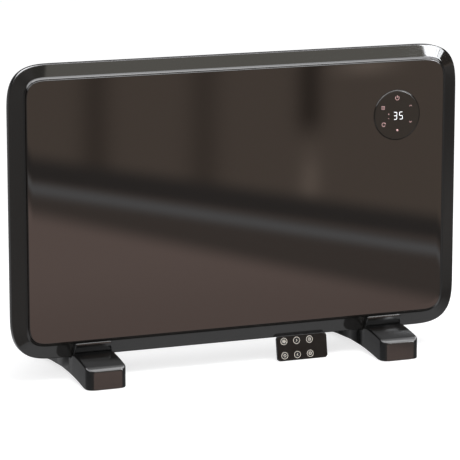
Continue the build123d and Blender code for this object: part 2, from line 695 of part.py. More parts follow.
rod_left = FIN_LEFT_X - FIN_END_SPACE - ROD_TAIL
rod_right = FIN_RIGHT_X + FIN_END_SPACE + ROD_TAIL
with BuildPart() as element_rod:
    with BuildSketch(side_on(rod_left)):
        with Locations((ELEMENT_Y, ELEMENT_Z)):
            Circle(ROD_RADIUS)
    extrude(amount=rod_right - rod_left)
save(element_rod, "element_rod")

with BuildPart() as element_terminals:
    for rod_end, side in ((rod_left, -1), (rod_right, 1)):
        with BuildSketch(side_on(rod_end)):
            with Locations((ELEMENT_Y, ELEMENT_Z)):
                Circle(TERMINAL_RADIUS)
        extrude(amount=side * TERMINAL_LENGTH)
save(element_terminals, "element_terminals")

# Cut-out bracket: a folded arm on the back wall that holds the thermal cut-out over the element.
arm_top = CUTOUT_ARM_Z + BRACKET_SHEET
with BuildPart() as cutout_bracket:
    with BuildSketch(side_on(CUTOUT_X - CUTOUT_ARM_WIDTH / 2)):
        with BuildLine():
            Polyline(
                (REAR_SEAT_Y, CUTOUT_ARM_Z),
                (REAR_SEAT_Y - CUTOUT_ARM_REACH, CUTOUT_ARM_Z),
                (REAR_SEAT_Y - CUTOUT_ARM_REACH, arm_top),
                (REAR_SEAT_Y - BRACKET_SHEET, arm_top),
                (REAR_SEAT_Y - BRACKET_SHEET, arm_top + CUTOUT_TAB),
                (REAR_SEAT_Y, arm_top + CUTOUT_TAB),
                close=True,
            )
        make_face()
    extrude(amount=CUTOUT_ARM_WIDTH)
save(cutout_bracket, "cutout_bracket")

cutout_y = REAR_SEAT_Y - CUTOUT_ARM_REACH / 2 - CUTOUT_FORWARD
cutout_x = CUTOUT_X - CUTOUT_ARM_WIDTH / 4
with BuildPart() as thermal_cutout:
    with BuildSketch(level(arm_top)):
        with Locations((cutout_x, cutout_y)):
            Circle(CUTOUT_FLANGE_RADIUS)
    extrude(amount=CUTOUT_FLANGE_THICK)
    with BuildSketch(level(arm_top)):
        with Locations((cutout_x, cutout_y)):
            Circle(CUTOUT_RADIUS)
    extrude(amount=CUTOUT_HEIGHT)
    with BuildSketch(level(arm_top + CUTOUT_HEIGHT)):
        with Locations((cutout_x, cutout_y)):
            with GridLocations(CUTOUT_RADIUS, 0, 2, 1):
                Rectangle(BLADE_THICK, BLADE_WIDTH)
    extrude(amount=CUTOUT_BLADE_HEIGHT)
save(thermal_cutout, "thermal_cutout")

# Thermal fuse: a small axial fuse lying across the same arm.
fuse_x = CUTOUT_X + CUTOUT_ARM_WIDTH / 2 - FUSE_RADIUS - SLIP_GAP
fuse_plane = facing(cutout_y + FUSE_LENGTH / 2)
with BuildPart() as thermal_fuse:
    with BuildSketch(fuse_plane):
        with Locations((fuse_x, arm_top + FUSE_RADIUS + FUSE_LEAD_RADIUS)):
            Circle(FUSE_RADIUS)
    extrude(amount=FUSE_LENGTH)
    with BuildSketch(facing(cutout_y + FUSE_LENGTH / 2 + FUSE_LEAD_LENGTH)):
        with Locations((fuse_x, arm_top + FUSE_RADIUS + FUSE_LEAD_RADIUS)):
            Circle(FUSE_LEAD_RADIUS)
    extrude(amount=FUSE_LENGTH + 2 * FUSE_LEAD_LENGTH)
save(thermal_fuse, "thermal_fuse")

# Room sensor: a steel probe in a moulded clip on the housing floor, in the cool air.
sensor_z = FLOOR_SEAT_Z + CLIP_HEIGHT - CLIP_DEPTH / 2
with BuildPart() as sensor_clip:
    with BuildSketch(level(FLOOR_SEAT_Z)):
        with Locations((SENSOR_X, SENSOR_Y)):
            Rectangle(CLIP_WIDTH, CLIP_DEPTH)
    extrude(amount=CLIP_HEIGHT)
    with BuildSketch(side_on(SENSOR_X - CLIP_WIDTH / 2)):
        with Locations((SENSOR_Y, sensor_z)):
            Circle(SENSOR_RADIUS + PIVOT_GAP)
    extrude(amount=CLIP_WIDTH, mode=Mode.SUBTRACT)
save(sensor_clip, "sensor_clip")

with BuildPart() as room_sensor:
    with BuildSketch(side_on(SENSOR_X - SENSOR_LENGTH / 2)):
        with Locations((SENSOR_Y, sensor_z)):
            Circle(SENSOR_RADIUS)
    extrude(amount=SENSOR_LENGTH)
save(room_sensor, "room_sensor")

# Control box: a moulded tray on the back wall with posts for the power board, and its lid.
box_floor_y = REAR_SEAT_Y - BOX_WALL
power_board_back_y = box_floor_y - POWER_BOARD_RISE
power_board_front_y = power_board_back_y - BOARD_THICK
with BuildPart() as control_box:
    with BuildSketch(facing(REAR_SEAT_Y)):
        with Locations((BOX_X, BOX_Z)):
            RectangleRounded(BOX_WIDTH, BOX_HEIGHT, BOX_WALL + 1)
    extrude(amount=BOX_DEPTH)
    offset(amount=-BOX_WALL, openings=control_box.faces().sort_by(Axis.Y)[0])
    with BuildSketch(facing(box_floor_y)):
        with Locations((BOX_X, BOX_Z)):
            with GridLocations(POWER_BOARD_WIDTH - BOX_POST_INSET, POWER_BOARD_HEIGHT - BOX_POST_INSET, 2, 2):
                Circle(BOX_POST_RADIUS)
    extrude(amount=POWER_BOARD_RISE)
save(control_box, "control_box")

with BuildPart() as control_box_lid:
    with BuildSketch(facing(REAR_SEAT_Y - BOX_DEPTH)):
        with Locations((BOX_X, BOX_Z)):
            RectangleRounded(BOX_WIDTH, BOX_HEIGHT, BOX_WALL + 1)
    extrude(amount=BOX_WALL)
save(control_box_lid, "control_box_lid")

with BuildPart() as power_board:
    with BuildSketch(facing(power_board_back_y)):
        with Locations((BOX_X, BOX_Z)):
            Rectangle(POWER_BOARD_WIDTH, POWER_BOARD_HEIGHT)
    extrude(amount=BOARD_THICK)
save(power_board, "power_board")

board_parts = {"relay": (RELAY_SIZE, RELAY_SHIFT), "filter_capacitor": (CAPACITOR_SIZE, CAPACITOR_SHIFT)}
for part_name, (part_size, part_shift) in board_parts.items():
    with BuildPart() as board_part:
        with BuildSketch(facing(power_board_front_y)):
            with Locations((BOX_X + part_shift[0], BOX_Z + part_shift[1])):
                RectangleRounded(part_size[0], part_size[1], 1)
        extrude(amount=part_size[2])
    save(board_part, part_name)

# Terminal block: three screw clamps on the back wall, where the mains comes in.
with BuildPart() as terminal_block:
    block_front_y = REAR_SEAT_Y - BLOCK_DEPTH
    with BuildSketch(facing(REAR_SEAT_Y)):
        with Locations((SWITCH_X, BLOCK_Z)):
            RectangleRounded(BLOCK_WIDTH, BLOCK_HEIGHT, 1)
    extrude(amount=BLOCK_DEPTH)
    with BuildSketch(level(BLOCK_Z - BLOCK_HEIGHT / 2)):
        with Locations((SWITCH_X, REAR_SEAT_Y - BLOCK_DEPTH / 2)):
            with GridLocations(BLOCK_POLE_PITCH, 0, BLOCK_POLES, 1):
                Circle(BLOCK_WIRE_RADIUS)
    extrude(amount=BLOCK_HEIGHT, mode=Mode.SUBTRACT)
    with BuildSketch(facing(block_front_y)):
        with Locations((SWITCH_X, BLOCK_Z)):
            with GridLocations(BLOCK_POLE_PITCH, 0, BLOCK_POLES, 1):
                Circle(BLOCK_SCREW_RADIUS)
    extrude(amount=-BLOCK_DEPTH / 2, mode=Mode.SUBTRACT)
save(terminal_block, "terminal_block")

# Main switch: a snap-in body in the back wall, with blades inside and a rocker on two trunnions.
pivot_y = HOUSING_BACK_Y - ROCKER_PIVOT_IN
room_radius = ROCKER_END_RADIUS + ROCKER_SIDE_GAP
with BuildPart() as main_switch_body:
    with BuildSketch(facing(HOUSING_BACK_Y)):
        with Locations((SWITCH_X, SWITCH_Z)):
            Rectangle(SWITCH_WIDTH, SWITCH_HEIGHT)
    extrude(amount=SWITCH_DEPTH)
    with BuildSketch(facing(HOUSING_BACK_Y)):
        with Locations((SWITCH_X, SWITCH_Z)):
            RectangleRounded(SWITCH_WIDTH + 2 * BEZEL_BORDER, SWITCH_HEIGHT + 2 * BEZEL_BORDER, BEZEL_BORDER)
    extrude(amount=-BEZEL_THICK)
    with BuildSketch(facing(HOUSING_BACK_Y + BEZEL_THICK)):
        with Locations((SWITCH_X, SWITCH_Z)):
            Rectangle(ROCKER_WIDTH + 2 * ROCKER_SIDE_GAP, 2 * room_radius)
    extrude(amount=BEZEL_THICK + ROCKER_ROOM, mode=Mode.SUBTRACT)
    with BuildSketch(side_on(SWITCH_X - SWITCH_WIDTH / 2)):
        with Locations((pivot_y, SWITCH_Z)):
            Circle(TRUNNION_RADIUS + PIVOT_GAP)
    extrude(amount=SWITCH_WIDTH, mode=Mode.SUBTRACT)
    with BuildSketch(facing(HOUSING_BACK_Y - SWITCH_DEPTH)):
        with Locations((SWITCH_X, SWITCH_Z)):
            with GridLocations(BLADE_WIDTH * 1.5, BLADE_WIDTH * 2, 2, 2):
                Rectangle(BLADE_WIDTH, BLADE_THICK)
    extrude(amount=BLADE_LENGTH)
save(main_switch_body, "main_switch_body")

# The rocker's face dips in the middle; its ends are round about the pivot, so they clear the body.
with BuildPart() as main_switch_rocker:
    end_reach = math.sqrt(ROCKER_END_RADIUS ** 2 - ROCKER_FACE_RISE ** 2)
    tilt = math.radians(ROCKER_TILT)
    rocker_origin = (SWITCH_X - ROCKER_WIDTH / 2, pivot_y, SWITCH_Z)
    rocker_plane = Plane(rocker_origin, x_dir=(0, math.cos(tilt), math.sin(tilt)), z_dir=(1, 0, 0))
    trunnion_plane = side_on(SWITCH_X - ROCKER_WIDTH / 2 - TRUNNION_LENGTH)
    with BuildSketch(rocker_plane):
        with BuildLine():
            Polyline(
                (-ROCKER_STEM_DROP, -ROCKER_STEM_WIDTH / 2),
                (0, -ROCKER_END_RADIUS),
            )
            ThreePointArc(
                (0, -ROCKER_END_RADIUS),
                (ROCKER_FACE_RISE / 2, -math.sqrt(ROCKER_END_RADIUS ** 2 - ROCKER_FACE_RISE ** 2 / 4)),
                (ROCKER_FACE_RISE, -end_reach),
            )
            Polyline((ROCKER_FACE_RISE, -end_reach), (ROCKER_VALLEY_RISE, 0), (ROCKER_FACE_RISE, end_reach))
            ThreePointArc(
                (ROCKER_FACE_RISE, end_reach),
                (ROCKER_FACE_RISE / 2, math.sqrt(ROCKER_END_RADIUS ** 2 - ROCKER_FACE_RISE ** 2 / 4)),
                (0, ROCKER_END_RADIUS),
            )
            Polyline(
                (0, ROCKER_END_RADIUS),
                (-ROCKER_STEM_DROP, ROCKER_STEM_WIDTH / 2),
                (-ROCKER_STEM_DROP, -ROCKER_STEM_WIDTH / 2),
            )
        make_face()
    extrude(amount=ROCKER_WIDTH)
    with BuildSketch(trunnion_plane):
        with Locations((pivot_y, SWITCH_Z)):
            Circle(TRUNNION_RADIUS)
    extrude(amount=ROCKER_WIDTH + 2 * TRUNNION_LENGTH)
save(main_switch_rocker, "main_switch_rocker")

# Cord gland: a flanged sleeve through the back wall, held by a nut inside.
with BuildPart() as cord_gland:
    with BuildSketch(facing(HOUSING_BACK_Y)):
        with Locations((SWITCH_X, GLAND_Z)):
            Circle(GLAND_FLANGE_RADIUS)
    extrude(amount=-GLAND_FLANGE_THICK)
    chamfer(cord_gland.edges().group_by(Axis.Y)[-1], length=1)
    with BuildSketch(facing(HOUSING_BACK_Y)):
        with Locations((SWITCH_X, GLAND_Z)):
            Circle(GLAND_RADIUS)
    extrude(amount=GLAND_TAIL)
    with BuildSketch(facing(HOUSING_BACK_Y + GLAND_FLANGE_THICK)):
        with Locations((SWITCH_X, GLAND_Z)):
            Circle(GLAND_BORE_RADIUS)
    extrude(amount=GLAND_FLANGE_THICK + GLAND_TAIL, mode=Mode.SUBTRACT)
save(cord_gland, "cord_gland")

with BuildPart() as gland_nut:
    with BuildSketch(facing(REAR_SEAT_Y)):
        with Locations((SWITCH_X, GLAND_Z)):
            RegularPolygon(GLAND_FLANGE_RADIUS, 6)
            Circle(GLAND_RADIUS + PIVOT_GAP, mode=Mode.SUBTRACT)
    extrude(amount=GLAND_NUT_THICK)
save(gland_nut, "gland_nut")

# Tip-over switch: a weighted pendulum between the cheeks of a moulded cradle on the floor.
tilt_base_z = FLOOR_SEAT_Z + TILT_SHEET
tilt_pivot_z = tilt_base_z + TILT_PIVOT_RISE
cheek_gap = TILT_BOB_WIDTH + 2 * SLIP_GAP
with BuildPart() as tilt_cradle:
    with BuildSketch(level(FLOOR_SEAT_Z)):
        with Locations((TILT_X, TILT_Y)):
            Rectangle(TILT_BASE_WIDTH, TILT_BASE_LENGTH)
    extrude(amount=TILT_SHEET)
    with BuildSketch(level(tilt_base_z)):
        with Locations((TILT_X, TILT_Y)):
            with GridLocations(cheek_gap + TILT_SHEET, 0, 2, 1):
                Rectangle(TILT_SHEET, TILT_CHEEK_LENGTH)
    extrude(amount=TILT_PIVOT_RISE + TILT_BOB_RADIUS)
    with BuildSketch(side_on(TILT_X - TILT_BASE_WIDTH / 2)):
        with Locations((TILT_Y, tilt_pivot_z)):
            Circle(TILT_PIN_RADIUS + PIVOT_GAP)
    extrude(amount=TILT_BASE_WIDTH, mode=Mode.SUBTRACT)
save(tilt_cradle, "tilt_cradle")

with BuildPart() as tilt_pendulum:
    with BuildSketch(side_on(TILT_X - TILT_BOB_WIDTH / 2)):
        with Locations((TILT_Y, tilt_pivot_z - TILT_BOB_DROP)):
            Circle(TILT_BOB_RADIUS)
    extrude(amount=TILT_BOB_WIDTH)
    with BuildSketch(side_on(TILT_X - TILT_ARM_THICK / 2)):
        with Locations((TILT_Y, tilt_pivot_z - TILT_BOB_DROP / 2)):
            SlotCenterToCenter(TILT_BOB_DROP, TILT_ARM_WIDTH, rotation=90)
    extrude(amount=TILT_ARM_THICK)
    with BuildSketch(side_on(TILT_X - cheek_gap / 2 - TILT_SHEET)):
        with Locations((TILT_Y, tilt_pivot_z)):
            Circle(TILT_PIN_RADIUS)
    extrude(amount=cheek_gap + 2 * TILT_SHEET)
save(tilt_pendulum, "tilt_pendulum")

# Feet: a moulded bar under each side. Its toe falls away in front, a neck stands in front of the
# frame's lower band, and a block behind the band carries the housing. The underside is arched.
toe_y = FOOT_LENGTH / 2
arch_start_y = toe_y - TOE_FLAT
shoulder_y = GLASS_Y + RIM_FRONT_DEPTH - 1
riser_front_y = FRAME_BACK_Y + SEAT_GAP
riser_back_y = HOUSING_BACK_Y + RISER_LIP
riser_top_z = HOUSING_BOTTOM_Z - SEAT_GAP
saddle_z = FRAME_BOTTOM_Z - SEAT_GAP
neck_front_y = GLASS_Y + NECK_FRONT_DEPTH
neck_base = FOOT_WIDTH - 2 * NECK_INSET
neck_top = neck_base - 2 * NECK_TOP_INSET
pad_y = toe_y - TOE_FLAT / 2 - 0.5
head_seat_z = riser_top_z - FOOT_SCREW_GRIP


def toe_mid(inner_y):
    """The middle point of a toe's crowned top, between the toe's tip and inner_y."""
    return (math.copysign((toe_y + abs(inner_y)) / 2, inner_y), (TOE_TOP_Z + FOOT_TOP_Z) / 2 + FOOT_TOP_CROWN)


for side_name, foot_x in (("left", -FOOT_X), ("right", FOOT_X)):
    with BuildPart() as neck:
        with BuildSketch(facing(shoulder_y)) as neck_face:
            with BuildLine():
                Polyline(
                    (foot_x - neck_base / 2, saddle_z),
                    (foot_x + neck_base / 2, saddle_z),
                    (foot_x + neck_base / 2, FOOT_TOP_Z),
                    (foot_x + neck_top / 2, NECK_TOP_Z),
                    (foot_x - neck_top / 2, NECK_TOP_Z),
                    (foot_x - neck_base / 2, FOOT_TOP_Z),
                    close=True,
                )
            make_face()
            fillet(neck_face.vertices().group_by(Axis.Y)[-1], radius=NECK_CORNER)
        extrude(amount=shoulder_y - neck_front_y)
        neck_edges = neck.faces().sort_by(Axis.Y)[0].edges()
        fillet(neck_edges.filter_by(lambda edge: edge.center().Z > FOOT_TOP_Z), radius=NECK_EDGE)

    with BuildPart() as foot:
        with BuildSketch(side_on(foot_x - FOOT_WIDTH / 2)):
            with BuildLine():
                Line((-toe_y, PAD_PROUD), (-toe_y, TOE_TOP_Z))
                ThreePointArc((-toe_y, TOE_TOP_Z), toe_mid(shoulder_y), (shoulder_y, FOOT_TOP_Z))
                Polyline(
                    (shoulder_y, FOOT_TOP_Z),
                    (shoulder_y, saddle_z),
                    (riser_front_y, saddle_z),
                    (riser_front_y, riser_top_z),
                    (riser_back_y, riser_top_z),
                    (riser_back_y, FOOT_TOP_Z),
                )
                ThreePointArc((riser_back_y, FOOT_TOP_Z), toe_mid(riser_back_y), (toe_y, TOE_TOP_Z))
                Polyline((toe_y, TOE_TOP_Z), (toe_y, PAD_PROUD), (arch_start_y, PAD_PROUD))
                ThreePointArc((arch_start_y, PAD_PROUD), (0, ARCH_HEIGHT), (-arch_start_y, PAD_PROUD))
                Line((-arch_start_y, PAD_PROUD), (-toe_y, PAD_PROUD))
            make_face()
        extrude(amount=FOOT_WIDTH)
        upright_edges = foot.edges().filter_by(Axis.Z)
        fillet(upright_edges.filter_by(lambda edge: abs(edge.center().Y) > arch_start_y), radius=FOOT_CORNER)
        fillet(
            foot.edges().filter_by(
                lambda edge: abs(edge.center().Y) > max(-shoulder_y, riser_back_y) + 1
                and TOE_TOP_Z - 0.1 < edge.center().Z < FOOT_TOP_Z - 0.1),
            radius=FOOT_EDGE)
        add(neck.part)
        with BuildSketch(side_on(foot_x - FOOT_WIDTH / 2)):
            with BuildLine():
                clear = SEAT_GAP + BAND_CROWN
                Polyline(
                    (GLASS_Y + BAND_LIP_DEPTH - clear, FRAME_BOTTOM_Z + BAND_WIDTH),
                    (GLASS_Y + RIM_FRONT_DEPTH - clear, FRAME_BOTTOM_Z),
                    (FRAME_BACK_Y, FRAME_BOTTOM_Z),
                    (FRAME_BACK_Y, FRAME_BOTTOM_Z + BAND_WIDTH),
                    close=True,
                )
            make_face()
        extrude(amount=FOOT_WIDTH, mode=Mode.SUBTRACT)
        with BuildSketch(level(PAD_PROUD)):
            with Locations((foot_x, -pad_y), (foot_x, pad_y)):
                RectangleRounded(PAD_WIDTH + 2 * SEAT_GAP, PAD_LENGTH + 2 * SEAT_GAP, PAD_CORNER + SEAT_GAP)
        extrude(amount=PAD_RECESS, mode=Mode.SUBTRACT)
        with BuildSketch(level(0)):
            with Locations((foot_x, FOOT_SCREW_MID_Y)):
                with GridLocations(0, FOOT_SCREW_SPACING, 1, 2):
                    Circle(FOOT_SCREW_HEAD_RADIUS + SLIP_GAP)
        extrude(amount=head_seat_z, mode=Mode.SUBTRACT)
        with BuildSketch(level(head_seat_z)):
            with Locations((foot_x, FOOT_SCREW_MID_Y)):
                with GridLocations(0, FOOT_SCREW_SPACING, 1, 2):
                    Circle(FOOT_SCREW_RADIUS + SEAT_GAP)
        extrude(amount=FOOT_SCREW_GRIP, mode=Mode.SUBTRACT)
    save(foot, f"foot_{side_name}")

    with BuildPart() as foot_pads:
        with BuildSketch(level(0)):
            with Locations((foot_x, -pad_y), (foot_x, pad_y)):
                RectangleRounded(PAD_WIDTH, PAD_LENGTH, PAD_CORNER)
        extrude(amount=PAD_PROUD + PAD_RECESS)
    save(foot_pads, f"foot_pads_{side_name}")

# Foot screws and nuts: two screws rise through each foot into nuts on the housing floor.
screw_rows = [
    (side * FOOT_X, FOOT_SCREW_MID_Y + row * FOOT_SCREW_SPACING / 2) for side in (-1, 1) for row in (-1, 1)]
nut_bottom_z = HOUSING_BOTTOM_Z + SHEET
nut_top_z = nut_bottom_z + FOOT_NUT_THICK
with BuildPart() as foot_screws:
    with BuildSketch(level(head_seat_z)):
        with Locations(*screw_rows):
            Circle(FOOT_SCREW_HEAD_RADIUS)
    extrude(amount=-FOOT_SCREW_HEAD_THICK)
    with BuildSketch(level(head_seat_z)):
        with Locations(*screw_rows):
            Circle(FOOT_SCREW_RADIUS)
    extrude(amount=nut_top_z + FOOT_SCREW_RADIUS - head_seat_z)
save(foot_screws, "foot_screws")

with BuildPart() as foot_nuts:
    with BuildSketch(level(nut_bottom_z)):
        with Locations(*screw_rows):
            RegularPolygon(FOOT_NUT_RADIUS, 6)
            Circle(FOOT_SCREW_RADIUS + SCREW_GAP, mode=Mode.SUBTRACT)
    extrude(amount=FOOT_NUT_THICK)
save(foot_nuts, "foot_nuts")

# Remote: a flat card, modelled on its own tilted plane. Local x runs along the card to its battery
# end, local y runs up the leaning face, and the normal leaves the key side.
lean_sin = math.sin(math.radians(REMOTE_LEAN))
lean_cos = math.cos(math.radians(REMOTE_LEAN))
edge_reach = REMOTE_WIDTH / 2 - REMOTE_EDGE
remote_z = edge_reach * lean_cos + REMOTE_EDGE * (1 - lean_sin)
remote_y = GLASS_Y + RIM_FRONT_DEPTH - SEAT_GAP - edge_reach * lean_sin - REMOTE_EDGE * (1 - lean_cos)
remote_base = Plane((REMOTE_X, remote_y, remote_z), x_dir=(1, 0, 0), z_dir=(0, -lean_cos, lean_sin))
remote_normal = Axis(remote_base.origin, remote_base.z_dir)
remote_end = REMOTE_LENGTH / 2
cavity_length = REMOTE_LENGTH - 2 * REMOTE_WALL
cavity_width = REMOTE_WIDTH - 2 * REMOTE_WALL
cavity_corner = REMOTE_CORNER - REMOTE_WALL
board_left = -remote_end + REMOTE_WALL + EMITTER_LENGTH
board_length = REMOTE_BOARD_END - board_left
board_mid = (REMOTE_BOARD_END + board_left) / 2
board_width = cavity_width - 2 * SEAT_GAP
board_top = REMOTE_BOARD_RISE + REMOTE_BOARD_THICK
tray_mid = remote_end - TRAY_LENGTH / 2
tray_low = REMOTE_BACK_FLOOR + SEAT_GAP
face_low = REMOTE_THICK - REMOTE_FACE_THICK
emitter_rise = REMOTE_SPLIT - EMITTER_RADIUS - SEAT_GAP
key_places = {
    "power": (KEY_ROWS[0], -KEY_COLUMN),
    "settings": (KEY_ROWS[0], KEY_COLUMN),
    "up": (KEY_ROWS[1], -KEY_COLUMN),
    "down": (KEY_ROWS[1], KEY_COLUMN),
    "mode": (KEY_ROWS[2], -KEY_COLUMN),
    "timer": (KEY_ROWS[2], KEY_COLUMN),
}

with BuildPart() as remote_back_shell:
    with BuildSketch(remote_base):
        RectangleRounded(REMOTE_LENGTH, REMOTE_WIDTH, REMOTE_CORNER)
    extrude(amount=REMOTE_SPLIT)
    back_face = remote_back_shell.faces().sort_by(remote_normal)[0]
    fillet(back_face.edges(), radius=REMOTE_EDGE)
    with BuildSketch(remote_base.offset(REMOTE_BACK_FLOOR)):
        RectangleRounded(cavity_length, cavity_width, cavity_corner)
    extrude(amount=REMOTE_SPLIT, mode=Mode.SUBTRACT)
    with BuildSketch(remote_base.offset(REMOTE_BACK_FLOOR)):
        with Locations((board_mid, 0)):
            with GridLocations(board_length - BOX_POST_INSET, board_width - BOX_POST_INSET, 2, 2):
                Circle(KEY_STEM_RADIUS)
    extrude(amount=REMOTE_BOARD_RISE - REMOTE_BACK_FLOOR)
    with BuildSketch(remote_base.offset(REMOTE_BACK_FLOOR)):
        with Locations((tray_mid, 0)):
            Rectangle(TRAY_LENGTH, TRAY_WIDTH + 2 * SEAT_GAP)
    extrude(amount=REMOTE_SPLIT, mode=Mode.SUBTRACT)
    emitter_spot = remote_base.from_local_coords((-remote_end, 0, emitter_rise))
    emitter_plane = Plane(emitter_spot, x_dir=remote_base.y_dir, z_dir=(1, 0, 0))
    with BuildSketch(emitter_plane):
        Circle(EMITTER_RADIUS + PIVOT_GAP)
    extrude(amount=REMOTE_WALL, mode=Mode.SUBTRACT)
save(remote_back_shell, "remote_back_shell")

with BuildPart() as remote_face:
    with BuildSketch(remote_base.offset(REMOTE_SPLIT)):
        RectangleRounded(REMOTE_LENGTH, REMOTE_WIDTH, REMOTE_CORNER)
    extrude(amount=REMOTE_THICK - REMOTE_SPLIT)
    key_face = remote_face.faces().sort_by(remote_normal)[-1]
    fillet(key_face.edges(), radius=REMOTE_EDGE)
    with BuildSketch(remote_base.offset(REMOTE_SPLIT)):
        RectangleRounded(cavity_length, cavity_width, cavity_corner)
    extrude(amount=face_low - REMOTE_SPLIT, mode=Mode.SUBTRACT)
    with BuildSketch(remote_base.offset(face_low)):
        with Locations(*key_places.values()):
            Circle(KEY_RADIUS + KEY_GAP)
    extrude(amount=REMOTE_FACE_THICK, mode=Mode.SUBTRACT)
save(remote_face, "remote_face")

with BuildPart() as remote_board:
    with BuildSketch(remote_base.offset(REMOTE_BOARD_RISE)):
        with Locations((board_mid, 0)):
            Rectangle(board_length, board_width)
    extrude(amount=REMOTE_BOARD_THICK)
save(remote_board, "remote_board")

with BuildPart() as remote_emitter:
    with BuildSketch(emitter_plane):
        Circle(EMITTER_RADIUS)
    extrude(amount=REMOTE_WALL + EMITTER_LENGTH - SEAT_GAP)
save(remote_emitter, "remote_emitter")

# Keys: each has a cap in its hole, a flange under the face that keeps it in, and a short stem.
flange_top = face_low - SEAT_GAP
flange_low = flange_top - KEY_FLANGE_THICK
for key_name, key_place in key_places.items():
    with BuildPart() as key:
        with BuildSketch(remote_base.offset(flange_low)):
            with Locations(key_place):
                Circle(KEY_RADIUS + KEY_FLANGE)
        extrude(amount=KEY_FLANGE_THICK)
        with BuildSketch(remote_base.offset(flange_top)):
            with Locations(key_place):
                Circle(KEY_RADIUS)
        extrude(amount=REMOTE_THICK + KEY_PROUD - flange_top)
        with BuildSketch(remote_base.offset(board_top + KEY_TRAVEL + PIVOT_GAP)):
            with Locations(key_place):
                Circle(KEY_STEM_RADIUS)
        extrude(amount=flange_low - board_top - KEY_TRAVEL - PIVOT_GAP)
    save(key, f"key_{key_name}")

# Battery tray: slides out of the card's end with the coin cell in its pocket.
cell_mid = remote_end - REMOTE_WALL - CELL_RADIUS - SEAT_GAP
with BuildPart() as battery_tray:
    with BuildSketch(remote_base.offset(tray_low)):
        with Locations((tray_mid, 0)):
            Rectangle(TRAY_LENGTH, TRAY_WIDTH)
    extrude(amount=TRAY_THICK)
    with BuildSketch(remote_base.offset(tray_low + TRAY_FLOOR)):
        with Locations((cell_mid, 0)):
            Circle(CELL_RADIUS + SEAT_GAP)
    extrude(amount=TRAY_THICK, mode=Mode.SUBTRACT)
save(battery_tray, "battery_tray")

with BuildPart() as coin_cell:
    with BuildSketch(remote_base.offset(tray_low + TRAY_FLOOR)):
        with Locations((cell_mid, 0)):
            Circle(CELL_RADIUS)
    extrude(amount=CELL_THICK)
save(coin_cell, "coin_cell")
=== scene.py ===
"""Looks for a glass-front convector heater: smooth outer pieces, finishes, marks, studio and camera.

The pieces' sizes are in millimetres, and MM turns them into metres; the studio and the camera are in
metres. +X is the heater's right seen from the front, +Y its back and +Z up. A depth is measured back from
the glass's front face.
"""
import json
import math
import bmesh
import bpy
import numpy as np
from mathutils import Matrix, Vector
from mathutils.geometry import tessellate_polygon


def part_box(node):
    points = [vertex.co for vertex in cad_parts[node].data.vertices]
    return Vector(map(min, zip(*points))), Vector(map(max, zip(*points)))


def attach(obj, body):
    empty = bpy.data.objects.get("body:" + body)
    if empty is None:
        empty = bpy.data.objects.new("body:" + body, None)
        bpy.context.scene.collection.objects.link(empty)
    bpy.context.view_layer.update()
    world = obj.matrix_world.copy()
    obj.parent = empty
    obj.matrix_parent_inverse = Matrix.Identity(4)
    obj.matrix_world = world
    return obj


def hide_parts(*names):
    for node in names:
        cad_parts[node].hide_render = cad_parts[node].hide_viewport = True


MM = 0.001
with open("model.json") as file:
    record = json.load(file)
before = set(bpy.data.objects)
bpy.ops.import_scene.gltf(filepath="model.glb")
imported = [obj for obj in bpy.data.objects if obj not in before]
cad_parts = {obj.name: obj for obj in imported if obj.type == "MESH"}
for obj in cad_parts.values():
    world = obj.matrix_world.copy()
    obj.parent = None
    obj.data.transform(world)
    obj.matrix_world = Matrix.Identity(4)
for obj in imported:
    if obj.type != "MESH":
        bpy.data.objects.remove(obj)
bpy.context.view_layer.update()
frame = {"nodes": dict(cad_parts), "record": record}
scene = bpy.context.scene

# Front frame: one gloss black moulding round the glass, screwed to the housing from behind. Its band rises
# from the rim to the glass, at first evenly and near the glass ever more steeply.
FRAME_CORNER, GLASS_CORNER, SEAT_GAP = 52.0, 26.0, 0.5
CORNER_REACH, CORNER_POWER = 1.5, 3.3
CORNER_STEPS, SIDE_STEPS = 32, 24
RIM_DEPTH, FRAME_DEPTH = 7.55, 20.0
SKIRT_SHARE, SKIRT_DEPTH = 0.115, 11.0
RIM_EDGE = ((0.012, FRAME_DEPTH), (0.0, 19.6), (0.0, 15.0), (0.0, 7.95), (0.003, 7.7), (0.01, 7.6))
SEAT_EDGE = ((0.996, 2.3), (1.0, 2.8), (1.0, 4.55))
EVEN_START, STEEP_START = 0.05, 0.1
BAND_RISE, STEEP_FROM, STEEP_TO, STEEP_RISE, STEEP_POWER = 4.3, 0.8, 0.99, 2.1, 1.6
LEDGE_INSET, LEDGE_CORNER, LEDGE_FRONT, LEDGE_BACK = 37.9, 14.0, 4.6, 7.1
ROUGHNESS_SPREAD, BUMP_DISTANCE = 0.25, 0.2 * MM


